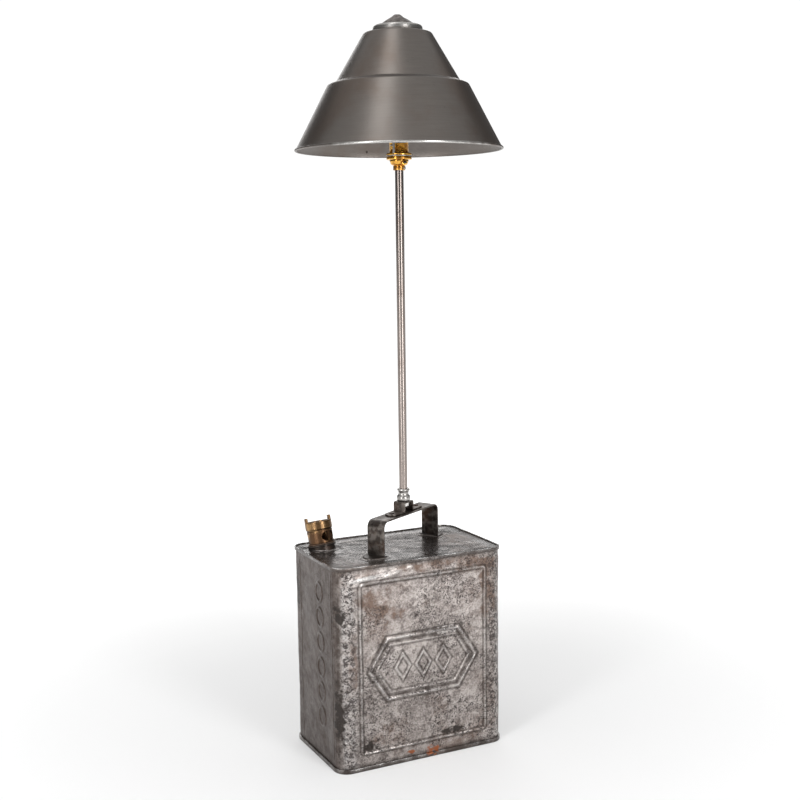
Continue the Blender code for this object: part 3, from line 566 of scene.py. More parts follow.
def brass_look(name, bright, aged, amount, roughness, dirt=(0.05, 0.028, 0.014)):
    """Brass whose polish gives way to brown tarnish where the noise says, by the given amount."""
    look = Look(name)
    cloud = look.noise(95.0, 6.0, 0.6, distortion=0.5)
    grain = look.noise(600.0, 4.0, 0.6)
    lines = look.noise(1.0, 3.0, 0.6, place=look.around(1.6, 1500.0))
    tarnish = look.level(cloud, 0.62 - 0.34 * amount, 0.78 - 0.26 * amount)
    worn = look.attribute("wear")
    tarnish = look.times(tarnish, look.math("SUBTRACT", 1.0, look.times(worn, 0.85)))
    colour = look.blend(tarnish, bright, aged)
    colour = look.blend(look.times(look.level(grain, 0.56, 0.66), 0.6 * amount), colour, dirt)
    rough = look.math("ADD", look.level(lines, 0.3, 0.7, roughness - 0.03, roughness + 0.05),
                      look.times(tarnish, 0.14))
    normal = look.bump(look.math("ADD", look.times(cloud, amount), look.times(lines, 0.3)), 0.00006)
    look.set(Base_Color=colour, Metallic=1.0, Roughness=rough, Normal=normal)
    return look


def leather_look():
    look = Look("oiled_leather")
    grain = look.cells(900.0)
    cloud = look.noise(80.0, 5.0)
    colour = look.blend(look.level(cloud, 0.35, 0.65), (0.055, 0.030, 0.018), (0.115, 0.066, 0.038))
    look.set(Base_Color=colour, Roughness=look.level(grain, 0.0, 0.6, 0.62, 0.80),
             Normal=look.bump(grain, 0.00012))
    return look


def phenolic_look():
    look = Look("black_phenolic")
    swirl = look.noise(160.0, 5.0, 0.6, distortion=1.5)
    colour = look.blend(look.level(swirl, 0.4, 0.65), (0.010, 0.010, 0.011), (0.026, 0.020, 0.017))
    look.set(Base_Color=colour, Roughness=look.level(swirl, 0.3, 0.7, 0.24, 0.36),
             Normal=look.bump(swirl, 0.00004))
    return look


def pearl_look():
    """Frosted inside of a lamp bulb, seen from outside as soft white glass."""
    look = Look("pearl_glass")
    fine = look.noise(260.0, 3.0)
    colour = look.blend(look.level(fine, 0.3, 0.7), (0.80, 0.79, 0.76), (0.88, 0.87, 0.85))
    look.set(Base_Color=colour, Roughness=look.level(fine, 0.3, 0.7, 0.30, 0.38), Coat_Weight=0.6,
             Coat_Roughness=0.05, Normal=look.bump(fine, 0.00002), Subsurface_Weight=0.25)
    return look


def floor_look():
    """White studio paper, a touch greyer where the lamp stands as a painted shadow, with a painted glow of its
    own that is weaker there.
    """
    look = Look("studio_paper")
    far = look.node("ShaderNodeVectorMath", {0: look.place}, operation="LENGTH").outputs[1]
    painted_shadow_fade = look.level(far, 0.15, 1.6)
    # Painted shadow in the paper's colour round the lamp, and a painted glow that fades the same way.
    look.set(Base_Color=look.blend(painted_shadow_fade, (0.60, 0.60, 0.60), (0.93, 0.93, 0.93)), Roughness=0.75,
             Specular_IOR_Level=0.10, Emission_Color=(1.0, 1.0, 1.0),
             Emission_Strength=look.level(painted_shadow_fade, 0.0, 1.0, 0.31, 0.55))
    return look


def finial_look():
    look = Look("finial_steel")
    cloud = look.noise(150.0, 6.0, 0.65, distortion=0.8)
    grain = look.noise(700.0, 4.0)
    colour = look.blend(look.level(cloud, 0.35, 0.65), (0.075, 0.064, 0.057), (0.235, 0.213, 0.200))
    look.set(Base_Color=colour, Metallic=0.8, Roughness=look.level(cloud, 0.3, 0.7, 0.38, 0.58),
             Normal=look.bump(grain, 0.00012, look.bump(cloud, 0.0006)))
    return look


# ---- the can ------------------------------------------------------------------------------------
def round_the_can(distance, offset):
    """Points (x, y) at distances round the can from its front middle towards +X, moved out by offset."""
    distance = np.mod(distance, AROUND)
    x = np.zeros_like(distance)
    y = np.zeros_like(distance)
    heading = np.zeros_like(distance)
    centre_x, centre_y, facing, done = 0.0, -FLAT_Y, -pi / 2, 0.0
    for flat in (FLAT_X, 2 * FLAT_Y, 2 * FLAT_X, 2 * FLAT_Y, FLAT_X):
        for run, bend in ((flat, 0.0), (QUARTER, 1 / CAN_CORNER)):
            here = (distance >= done) & (distance <= done + run + 1e-9)
            along = distance[here] - done
            turn = facing + along * bend
            ahead = 0.0 if bend else along
            x[here] = centre_x + CAN_CORNER * np.cos(turn) - ahead * sin(facing)
            y[here] = centre_y + CAN_CORNER * np.sin(turn) + ahead * cos(facing)
            heading[here] = turn
            done += run
            if not bend:
                centre_x -= run * sin(facing)
                centre_y += run * cos(facing)
        facing += pi / 2
    return x + offset * np.cos(heading) + CAN_MIDDLE.x, y + offset * np.sin(heading) + CAN_MIDDLE.y


def face_place(distance, middle):
    """Signed distance along the can's wall from a face's middle."""
    return np.mod(distance - middle + AROUND / 2, AROUND) - AROUND / 2


def box_distance(u, z, half_u, low, high, corner):
    du = np.abs(u) - half_u + corner
    dz = np.abs(z - (low + high) / 2) - (high - low) / 2 + corner
    return np.hypot(np.maximum(du, 0), np.maximum(dz, 0)) + np.minimum(np.maximum(du, dz), 0) - corner


def hexagon_distance(u, z, half_width, shoulder, half_height):
    slope = Vector((half_height, half_width - shoulder)).normalized()
    side = (np.abs(u) - half_width) * slope.x + np.abs(z) * slope.y
    return np.maximum(side, np.abs(z) - half_height)


def panel_relief(u, z):
    """Large face: beaded border round a slightly sunk panel, with a plain lozenge cartouche."""
    border = box_distance(u - 0.0012, z, BORDER_HALF, BORDER_LOW, BORDER_HIGH, 0.004)
    lines = [(border, 0.0021, 0.00105)]
    rise = z - 0.130
    lozenge = hexagon_distance(u, rise, 0.078, 0.052, 0.040)
    lines += [(lozenge, 0.0030, 0.0013), (lozenge + 0.0085, 0.0020, 0.0008)]
    for centre in (-0.030, 0.0, 0.030):
        diamond = (np.abs(u - centre) / 0.0105 + np.abs(rise) / 0.0165 - 1) * 0.0088
        lines += [(diamond, 0.0022, 0.0011)]
    sunk = -0.0007 * smooth(-border, 0.001, 0.006)
    return lines, sunk


def side_relief(u, z):
    """Small face: two faint upright lines and a column of plain raised ovals."""
    lines = [(u + 0.048, 0.0018, 0.0005), (u - 0.0545, 0.0018, 0.0005)]
    for step in range(6):
        radius = np.hypot((u - 0.018) / 0.0105, (z - 0.060 - 0.0335 * step) / 0.0120)
        lines.append(((radius - 1) * 0.0110, 0.0026, 0.0010))
    return lines, np.zeros_like(u)


def can_relief(distance, z):
    """How far the can's skin stands out, with the fields that its material reads."""
    out = np.zeros_like(z)
    wear = np.zeros_like(z)
    crevice = np.zeros_like(z)
    faces = [(0.0, FLAT_X, panel_relief), (AROUND / 2, FLAT_X, panel_relief),
             (SIDE_MIDDLE, FLAT_Y, side_relief), (-SIDE_MIDDLE, FLAT_Y, side_relief)]
    for middle, reach, relief in faces:
        u = face_place(distance, middle)
        here = np.abs(u) < reach + 0.004
        lines, sunk = relief(u, z)
        out += np.where(here, sunk, 0)
        for gap, half, height in lines:
            crest = np.where(here, ridge(gap, half), 0)
            foot = np.where(here, np.maximum(ridge(gap - half * 1.25, half * 0.8),
                                             ridge(gap + half * 1.25, half * 0.8)), 0)
            strength = height / 0.0012
            out += crest * height - foot * height * 0.22
            wear = np.maximum(wear, crest ** 4 * min(strength, 1.0) * 0.8)
            # The feet of each ridge go darker through the crevice field: dirt and painted shade.
            crevice = np.maximum(crevice, foot ** 0.6 * (1 - crest) * min(strength * 1.2, 1.0))
    return out, wear, crevice


def build_can_shell(look):
    step = 0.0011
    columns = int(AROUND / step)
    low, high = BODY_LOW.z, BODY_HIGH.z
    rows = int((high - low) / 0.0012)
    distance, z = np.meshgrid(np.arange(columns) * AROUND / columns, np.linspace(low, high, rows))
    out, wear, crevice = can_relief(distance, z)
    x, y = round_the_can(distance, 0.0)
    skin = np.stack([x, y, z], axis=-1)
    fade = smooth(z, low + 0.003, low + 0.014) * (1 - smooth(z, high - 0.012, high - 0.003))
    front = face_place(distance, 0.0)
    side = face_place(distance, -SIDE_MIDDLE)
    nearest = np.minimum(np.abs(front), np.abs(face_place(distance, AROUND / 2)))
    corner = np.clip(1 - np.abs(nearest - FLAT_X - QUARTER * 0.30) / 0.006, 0, 1)
    # Band on each corner arc, darkened through the crevice field: grime and a painted dark reflection.
    grime_and_painted_reflection = np.clip(1.3 - np.abs(nearest - FLAT_X - QUARTER * 0.62) / 0.0060, 0, 1)
    out += 0.00065 * ripple(skin, 0.055, 3) + 0.00022 * ripple(skin, 0.018, 5)
    out += 0.00010 * ripple(skin, 0.0065, 8)
    crumple = np.exp(-((front + 0.082) / 0.030) ** 2 - ((z - 0.2545) / 0.0075) ** 2)
    fold = ripple(np.stack([front * 0.8 + z * 0.6, z * 2.2, front * 0], axis=-1), 0.011, 17)
    out += crumple * (0.0010 + 0.0011 * fold)
    sweep = z - 0.2455 - 0.0175 * smooth(front, -0.090, 0.005)
    sweep_here = smooth(front, -0.112, -0.095) * (1 - smooth(front, 0.000, 0.030))
    out += sweep_here * (0.0008 * ridge(sweep, 0.0045) + 0.0009 * smooth(-sweep, -0.010, 0.0))
    margin = np.exp(-((front + 0.104) / 0.007) ** 2)
    out += 0.0005 * margin * smooth(z, 0.02, 0.05)
    dent = np.exp(-((front + 0.098) / 0.0042) ** 2 - ((z - 0.195) / 0.0075) ** 2)
    out -= 0.0014 * dent
    dents = [(front, 0.052, 0.016, 0.0011), (front - 0.055, 0.205, 0.020, 0.0009),
             (side - 0.030, 0.035, 0.012, 0.0012), (side + 0.020, 0.150, 0.022, 0.0010),
             (front - 0.100, 0.085, 0.009, 0.0010)]
    for where, height, size, depth in dents:
        out -= depth * np.exp(-(where / size) ** 2 - ((z - height) / (size * 0.8)) ** 2)
    out *= fade
    worn = 0.5 + 0.5 * ripple(skin, 0.006, 21)
    wear = np.maximum(wear * 0.75, corner * 0.40) * np.clip(worn + 0.15, 0, 1)
    wear = np.maximum(wear, 0.7 * crumple * np.clip(fold + 0.2, 0, 1))
    wear = np.maximum(wear, margin * 0.35 * np.clip(worn, 0, 1))
    wear = np.maximum(wear, sweep_here * ridge(sweep - 0.001, 0.003) * np.clip(worn - 0.05, 0, 1) * 0.45)
    seam_dirt = np.maximum(1 - (z - low) / 0.006, 1 - (high - z) / 0.007)
    crevice = np.maximum(crevice * 0.95, np.clip(seam_dirt, 0, 1))
    streaks = 0.5 + 0.6 * ripple(skin * np.array([1, 1, 0.25]), 0.012, 27)
    crevice = np.maximum(crevice, grime_and_painted_reflection * np.clip(streaks + 0.35, 0, 1) * 0.95)
    speckle = np.minimum(np.exp(-((nearest - 0.103) / 0.008) ** 2) + corner, 1)
    # Painted shade on the two narrow side faces, fading in over the corner arcs.
    painted_side_shade = smooth(np.abs(front), FLAT_X + QUARTER * 0.35, FLAT_X + QUARTER * 0.95)
    painted_side_shade *= 1 - smooth(np.abs(front), AROUND / 2 - FLAT_X - QUARTER, AROUND / 2 - FLAT_X)
    x, y = round_the_can(distance, out)
    outside = np.stack([x, y, z], axis=-1)
    inside_x, inside_y = round_the_can(distance, np.minimum(out, 0) - CAN_SHEET)
    inside = np.stack([inside_x, inside_y, z], axis=-1)[::-8]
    fields = {}
    for name, values in (("wear", wear), ("crevice", crevice), ("painted_shade", painted_side_shade),
                         ("speckle", speckle)):
        fields[name] = np.vstack([values, values[::-8]])
    shell = grid_mesh("can_shell", np.concatenate([outside, inside]), look, fields, wrap=True, sharp=50)
    return place(shell, "can", "pitted_steel", "can_body")


def seam_points(sections, seed, amount=0.00022):
    """Grid of can outlines at (offset, height), the seam's own unevenness added outside the body."""
    distance = np.arange(SEAM_COLUMNS) * AROUND / SEAM_COLUMNS
    rows = []
    for offset, height in sections:
        x, y = round_the_can(distance, offset)
        rows.append(np.stack([x, y, np.full(SEAM_COLUMNS, height)], axis=-1))
    points = np.stack(rows)
    offsets = np.array([offset for offset, _ in sections])[:, None]
    lift = amount * ripple(points * np.array([1, 1, 0.3]), 0.020, seed)
    lift += 0.5 * amount * ripple(points, 0.006, seed + 1)
    weight = smooth(offsets, 0.0006, 0.0016)
    around_x, around_y = points[..., 0] - CAN_MIDDLE.x, points[..., 1] - CAN_MIDDLE.y
    length = np.hypot(around_x, around_y)
    push = np.minimum(lift, 0.0) * weight
    points[..., 0] += push * around_x / length
    points[..., 1] += push * around_y / length
    return points


def build_can_lid(look):
    """Top plate with its folded seam, raised a little round the filler."""
    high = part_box("can_top")[1]
    edge = 0.0006
    proud = high.x - CAN_MIDDLE.x - CAN_HALF_X
    plate_under = PLATE_TOP - CAN_SHEET
    under = high.z - 0.0045
    seam = [(0.0003, plate_under), (0.0003, under)]
    seam += rounded([(0.0003, under), (proud, under), (proud, high.z), (0.0, high.z),
                     (-0.0004, PLATE_TOP)], [edge, edge * 1.3, edge * 0.8], steps=5)[1:]
    seam += [(-0.0016, PLATE_TOP - 0.0001), (-0.004, PLATE_TOP)]
    ring = seam_points(seam, 31)
    middle = np.array([CAN_MIDDLE.x, CAN_MIDDLE.y, 0])
    rim = ring[-1]
    plate = middle + (rim - middle) * np.linspace(1, 0.02, 46)[1:, None, None]
    plate[..., 2] = PLATE_TOP
    crossing = NECK_SEAT + NECK_AXIS * (PLATE_TOP - NECK_SEAT.z) / NECK_AXIS.z
    from_neck = np.hypot(plate[..., 0] - crossing.x, plate[..., 1] - crossing.y)
    boss = 0.0013 * (1 - smooth(from_neck, 0.0195, 0.0275))
    from_edge = np.minimum(CAN_HALF_X - np.abs(plate[..., 0] - CAN_MIDDLE.x),
                           CAN_HALF_Y - np.abs(plate[..., 1] - CAN_MIDDLE.y))
    calm = smooth(from_edge, 0.003, 0.018)
    plate[..., 2] += boss + calm * (-0.0002 + 0.00028 * (ripple(plate, 0.045, 41) - 1)
                                    + 0.00007 * ripple(plate, 0.012, 43))
    floor_row = middle + (ring[0] - middle) * np.linspace(0.05, 0.97, 5)[:, None, None]
    floor_row[..., 2] = plate_under
    points = np.concatenate([floor_row, ring, plate])
    crest = smooth(points[..., 2], high.z - 0.0012, high.z)
    rows = len(floor_row) + len(ring)
    crevice = np.zeros(points.shape[:2])
    crevice[rows:rows + 3] = 0.9
    crevice[rows - 3:rows] = 0.9
    crevice = np.maximum(crevice, np.pad(boss / 0.0013 * (1 - boss / 0.0013) * 2.6,
                                         ((rows, 0), (0, 0))))
    seam_rows = (np.arange(len(points)) >= len(floor_row)) & (np.arange(len(points)) < rows - 3)
    outer_dirt = seam_rows[:, None] * (1 - crest) * np.clip(1.0 + 0.5 * ripple(points, 0.014, 53), 0, 1)
    crevice = np.maximum(crevice, outer_dirt)
    # The seam's crest brightens in flecks: worn metal and painted glints.
    glint = np.clip(0.25 + 1.0 * ripple(points, 0.012, 51), 0, 1)
    fields = {"wear": crest * glint, "crevice": crevice}
    lid = grid_mesh("can_lid", points, look, fields, cap_start=True, cap_end=True, sharp=40)
    hole = turned("cutter_neck", [(0.0, -0.02), (0.0171, -0.02), (0.0171, 0.012), (0.0, 0.012)],
                  closed=False, segments=64)
    bake_place(hole, neck_matrix())
    cut(lid, [hole])
    return place(lid, "can", "lacquered_steel", "can_top")


def build_can_base(look):
    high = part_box("can_bottom")[1]
    proud = high.x - CAN_MIDDLE.x - CAN_HALF_X
    edge = 0.0006
    seam = rounded([(-0.004, 0.0035), (-0.0012, 0.0035), (-0.0012, 0.0), (proud, 0.0), (proud, 0.0055),
                    (0.0003, 0.0055), (0.0003, 0.0043), (-0.004, 0.0043)],
                   [0.0002, 0.0002, edge, edge, 0.0002, 0.0002], steps=4)
    ring = seam_points(seam, 61)
    middle = np.array([CAN_MIDDLE.x, CAN_MIDDLE.y, 0])
    shares = np.linspace(0.03, 0.97, 12)[:, None, None]
    below = middle + (ring[0] - middle) * shares
    below[..., 2] = 0.0035 + 0.0006 * smooth(shares[..., 0], 1.0, 0.4)
    above = middle + (ring[-1] - middle) * shares[::-1]
    above[..., 2] = below[::-1, :, 2] + 0.0008
    points = np.concatenate([below, ring, above])
    edge_wear = smooth(points[..., 2], 0.0040, 0.0055) * np.clip(0.5 + 0.6 * ripple(points, 0.008, 71), 0, 1)
    dirt = np.maximum(smooth(points[..., 2], 0.0050, 0.0015), 0.90 * (1 - edge_wear))
    fields = {"wear": 0.7 * edge_wear, "crevice": dirt}
    base = grid_mesh("can_base", points, look, fields, cap_start=True, cap_end=True, sharp=40)
    return place(base, "can", "pitted_steel", "can_bottom")


# ---- filler neck and cap ------------------------------------------------------------------------
def neck_matrix():
    """Frame whose Z is the filler's axis and whose origin is the middle of its lip."""
    lean = NECK_AXIS.angle(Vector((0, 0, 1)))
    heading = atan2(NECK_AXIS.y, NECK_AXIS.x)
    turn = Matrix.Rotation(lean, 4, Vector((-sin(heading), cos(heading), 0)))
    return Matrix.Translation(NECK_SEAT) @ turn


def solder_ring(name, outline, height, width, look, seed, flip=1.0):
    """Uneven concave fillet on the top plate round a closed outline of (x, y, z) points."""
    outline = np.array(outline)
    ahead = np.roll(outline, -1, axis=0) - np.roll(outline, 1, axis=0)
    normal = np.stack([ahead[:, 1], -ahead[:, 0]], axis=-1) * flip
    normal /= np.linalg.norm(normal, axis=1)[:, None]
    uneven = 1 + 0.30 * ripple(outline, 0.008, seed)
    section = [(-0.0004, 0.0), (-0.0002, 1.0), (0.05, 0.55), (0.35, 0.2), (0.8, 0.06), (1.0, 0.0),
               (1.0, -0.0003), (-0.0004, -0.0003)]
    rows = []
    for out, up in section:
        reach = out * width * uneven if out > 0 else np.full(len(outline), out)
        rise = up * height * uneven if up > 0 else np.full(len(outline), up)
        row = outline.copy()
        row[:, :2] += normal * reach[:, None]
        row[:, 2] += rise
        rows.append(row)
    ring = grid_mesh(name, np.stack(rows), look, wrap=True, sharp=60)
    return place(ring, "can", "dark_steel")


def build_neck(steel, solder):
    line = rounded([(NECK_BORE + 0.0004, 0.0), (NECK_LIP, 0.0), (NECK_LIP, -0.0024),
                    (NECK_RADIUS, -0.0026), (NECK_RADIUS, -NECK_DEPTH), (NECK_BORE, -NECK_DEPTH)],
                   [0.0009, 0.0009, 0.0004, 0.0002], steps=5)
    neck = turned("neck_collar", [(NECK_BORE, -0.0006)] + line, steel, segments=128)
    bake_place(neck, neck_matrix())
    place(neck, "can", "dark_steel", "filler_neck")
    base = neck_matrix()
    outline = []
    for step in range(96):
        angle = step * 2 * pi / 96
        spot = base @ Vector((0.0169 * cos(angle), 0.0169 * sin(angle), 0.0))
        spot -= NECK_AXIS * (spot.z - PLATE_TOP - 0.0011) / NECK_AXIS.z
        outline.append(tuple(spot))
    solder_ring("neck_solder", outline, 0.0022, 0.0040, solder, 81)


def build_cap(look):
    plug = [(CAP_PLUG - (0.0006 if step % 3 == 0 else 0.0), -0.0100 + step * 0.00070) for step in range(15)]
    lower = rounded([(CAP_PLUG, CAP_FOOT), (0.0164, CAP_FOOT), (0.0172, CAP_RING_LOW - 0.0020),
                     (0.0166, CAP_RING_LOW - 0.0008), (CAP_RING_RADIUS, CAP_RING_LOW + 0.0012),
                     (CAP_RING_RADIUS, CAP_HEIGHT), (CAP_BORE, CAP_HEIGHT), (CAP_BORE, CAP_FLOOR),
                     (0.0, CAP_FLOOR)], [0.0004, 0.0007, 0.0005, 0.0006, 0.0007, 0.0006, 0.0008], steps=4)
    outline = divided([(0.0, -0.0105), (0.0141, -0.0105)] + plug + lower, 0.0022)
    cap = turned("screw_cap", outline, look, segments=144, closed=False, sharp=40)
    tools = []
    for heading in LUG_HEADINGS:
        spread = LUG_HALF_WIDTH / 0.0178
        sector = arc((0, 0), LUG_REACH, -spread, spread, 5)
        sector += [(CAP_BORE + 0.0002, LUG_HALF_WIDTH), (CAP_BORE + 0.0002, -LUG_HALF_WIDTH)]
        lug = prism("cutter_lug", sector, CAP_HEIGHT - 0.004, CAP_HEIGHT + 0.0058)
        add_bevel(lug, 0.0006)
        apply_modifiers(lug)
        tools.append(bake_place(lug, Matrix.Rotation(heading, 4, "Z")))
    cut(cap, tools, "UNION")
    tools = []
    for heading in WINDOW_HEADINGS:
        for side in (-1, 1):
            half, straight = 0.0061, 0.0018
            shape = [(straight, -half)] + arc((straight + 0.0027, 0), half, -pi / 2, pi / 2, 14)
            shape += [(straight, half)]
            window = prism("cutter_window", [(side * x, y) for x, y in shape], 0.0105, 0.0240)
            upright = (Matrix.Translation((0, 0, WINDOW_MIDDLE)) @ Matrix.Rotation(heading + pi / 2, 4, "Z")
                       @ Matrix.Rotation(pi / 2, 4, "X"))
            tools.append(bake_place(window, upright))
    cut(cap, tools)
    add_bevel(cap, 0.00035)
    apply_modifiers(cap)
    rise = np.array([vertex.co.z for vertex in cap.data.vertices])
    reach = np.array([vertex.co.xy.length for vertex in cap.data.vertices])
    worn = smooth(rise, CAP_HEIGHT - 0.0016, CAP_HEIGHT) * 0.15 + 0.35 * smooth(reach, 0.0176, CAP_RING_RADIUS)
    field = cap.data.attributes.get("wear") or cap.data.attributes.new("wear", "FLOAT", "POINT")
    field.data.foreach_set("value", np.clip(worn, 0, 1).astype(np.float32))
    bake_place(cap, neck_matrix())
    return place(cap, "cap", "aged_brass", "filler_cap")


# ---- handle and bracket -------------------------------------------------------------------------
def strap(name, corners, radius, thickness, width, look, seed, round_end=0.0):
    """Bent flat bar through (along, height) corners across the can, with soft worn edges."""
    path = divided(rounded(corners, radius, steps=8), 0.0022)
    count = len(path)
    line = np.array(path)
    ahead = np.gradient(line, axis=0)
    ahead /= np.linalg.norm(ahead, axis=1)[:, None]
    normal = np.stack([-ahead[:, 1], ahead[:, 0]], axis=-1)
    run = np.concatenate([[0], np.cumsum(np.linalg.norm(np.diff(line, axis=0), axis=1))])
    half = np.full(count, width / 2)
    if round_end:
        short = np.clip(1 - np.minimum(run, run[-1] - run) / round_end, 0, 0.985)
        half *= np.sqrt(1 - short ** 2)
    soft = thickness * 0.30
    section = []
    for sx, sy, start in ((1, 1, 0.0), (-1, 1, pi / 2), (-1, -1, pi), (1, -1, 3 * pi / 2)):
        for point in arc((0, 0), 1.0, start, start + pi / 2, 3):
            section.append((sx, sy, *point))
    columns = []
    for sx, sy, cx, cy in section:
        across = sx * (half - soft) + cx * soft
        up = sy * (thickness / 2 - soft) + cy * soft
        columns.append((across, np.full(count, up)))
    across = np.stack([column[0] for column in columns], axis=1)
    up = np.stack([column[1] for column in columns], axis=1)
    flat = line[:, None, :] + normal[:, None, :] * up[..., None]
    points = np.stack([flat[..., 0], across, flat[..., 1]], axis=-1)
    points += 0.00012 * ripple(points, 0.016, seed)[..., None] * np.array([0.4, 0.6, 0.4])
    wear = np.where(np.abs(across) > (half[:, None] - soft * 1.2), 0.9, 0.0)
    bar = grid_mesh(name, points, look, {"wear": wear}, cap_start=True, cap_end=True, sharp=42)
    return bake_place(bar, Matrix.Rotation(HANDLE_HEADING, 4, "Z"))


def build_handle(steel, solder):
    foot, middle = HANDLE_LOW.z, HANDLE_HIGH.z - STRAP_SHEET / 2
    bar = strap("carry_handle", [(-HANDLE_HALF_SPAN, foot), (-HANDLE_HALF_SPAN, middle),
                                 (HANDLE_HALF_SPAN, middle), (HANDLE_HALF_SPAN, foot)],
                0.009, STRAP_SHEET, HANDLE_WIDTH, steel, 91)
    place(bar, "can", "dark_steel", "handle")
    for side, outward in (("left", -1), ("right", 1)):
        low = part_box("handle_foot_" + side)[0]
        outline = [(-outward * FOOT_BACK, -FOOT_HALF_WIDTH)]
        outline += [(outward * FOOT_LENGTH * cos(a), FOOT_HALF_WIDTH * sin(a))
                    for a in np.linspace(-pi / 2, pi / 2, 33)]
        outline += [(-outward * FOOT_BACK, FOOT_HALF_WIDTH)]
        foot = prism("foot_pad_" + side, outline, low.z, low.z + FOOT_SHEET)
        foot.data.materials.append(steel.material)
        add_bevel(foot, 0.0006, 3)
        apply_modifiers(foot)
        move = Matrix.Rotation(HANDLE_HEADING, 4, "Z") @ Matrix.Translation((outward * HANDLE_HALF_SPAN, 0, 0))
        place(bake_place(foot, move), "can", "dark_steel", "handle_foot_" + side)
        line = divided(outline + outline[:1], 0.0018)[:-1]
        rim = [tuple(move @ Vector((x, y, low.z - 0.0004))) for x, y in line]
        solder_ring("foot_solder_" + side, rim, 0.0013, 0.0030, solder, 95 + outward, flip=outward)


def build_bracket(steel):
    low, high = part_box("stem_bracket")
    flange = low.z + STRAP_SHEET / 2
    crown = high.z - STRAP_SHEET / 2
    bar = strap("stem_bracket_strap", [(-BRACKET_REACH, flange), (-HUMP_HALF, flange), (-HUMP_HALF, crown),
                                       (HUMP_HALF, crown), (HUMP_HALF, flange), (BRACKET_REACH, flange)],
                0.0018, STRAP_SHEET, BRACKET_WIDTH, steel, 101, round_end=0.0085)
    hole = turned("cutter_nipple", [(0.0, crown - 0.004), (0.0053, crown - 0.004), (0.0053, crown + 0.004),
                                    (0.0, crown + 0.004)], closed=False, segments=48)
    cut(bar, [hole])
    place(bar, "can", "dark_steel", "stem_bracket")
    for side, distance in (("left", -RIVET_OFFSET), ("right", RIVET_OFFSET)):
        low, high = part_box("bracket_rivet_" + side)
        top = HANDLE_HIGH.z + 0.0026
        under = HANDLE_HIGH.z - STRAP_SHEET - 0.0003
        head = [(RIVET_HEAD * cos(a), top + (high.z - top) * sin(a)) for a in np.linspace(pi / 2, 0.05, 9)]
        tail = [(0.0030 * cos(a), under - (under - low.z) * sin(a)) for a in np.linspace(0.05, pi / 2, 7)]
        rivet = turned("rivet_" + side, head + [(RIVET_SHANK, top), (RIVET_SHANK, under)] + tail, steel, 48,
                       closed=False, wobble=lambda p: p + 0.00012 * ripple(p, 0.003, 7)[..., None])
        spot = Matrix.Translation((distance * cos(HANDLE_HEADING), distance * sin(HANDLE_HEADING), 0))
        place(bake_place(rivet, spot), "can", "dark_steel", "bracket_rivet_" + side)


# ---- stem ---------------------------------------------------------------------------------------
def build_stem(nickel, steel):
    low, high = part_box("stem_coupler")
    line = [(0.0053, low.z), (0.0074, low.z)]
    line += [(0.0092 - 0.0010 * (1 - cos(a)), low.z + 0.0036 + 0.0034 * sin(a))
             for a in np.linspace(-1.35, 0.9, 9)]
    line += rounded([(0.0084, low.z + 0.0065), (0.0071, low.z + 0.0084), (0.0069, low.z + 0.0112),
                     (0.0074, low.z + 0.0128)], [0.002, 0.002], steps=4)
    line += [(0.0074 + 0.0010 * sin(a), low.z + 0.0147 - 0.0018 * cos(a)) for a in np.linspace(0.25, 2.8, 9)]
    line += [(ENTRY_RADIUS, high.z), (ENTRY_RADIUS, TUBE_LOW.z - 0.0003), (0.0053, TUBE_LOW.z - 0.0003)]
    coupler = turned("tube_coupler", line, nickel, segments=112, sharp=32)
    place(coupler, "can", "satin_nickel", "stem_coupler")
    radius = TUBE_HIGH.x
    outside = divided([(radius, TUBE_LOW.z), (radius, TUBE_HIGH.z)], 0.012)
    inside = [(radius - 0.001, TUBE_HIGH.z), (radius - 0.001, TUBE_LOW.z)]

    def settle(points):
        """Tube rubbed to a shine by hand: shallow flats that bend its reflections a little."""
        inward = 0.00003 * (ripple(points, 0.05, 111) - 1)
        scale = 1 + inward / np.hypot(points[..., 0], points[..., 1])
        return points * np.stack([scale, scale, np.ones_like(scale)], axis=-1)

    tube = turned("stem_pole", outside + inside, steel, segments=72, wobble=settle)
    place(tube, "can", "polished_steel", "stem_tube")


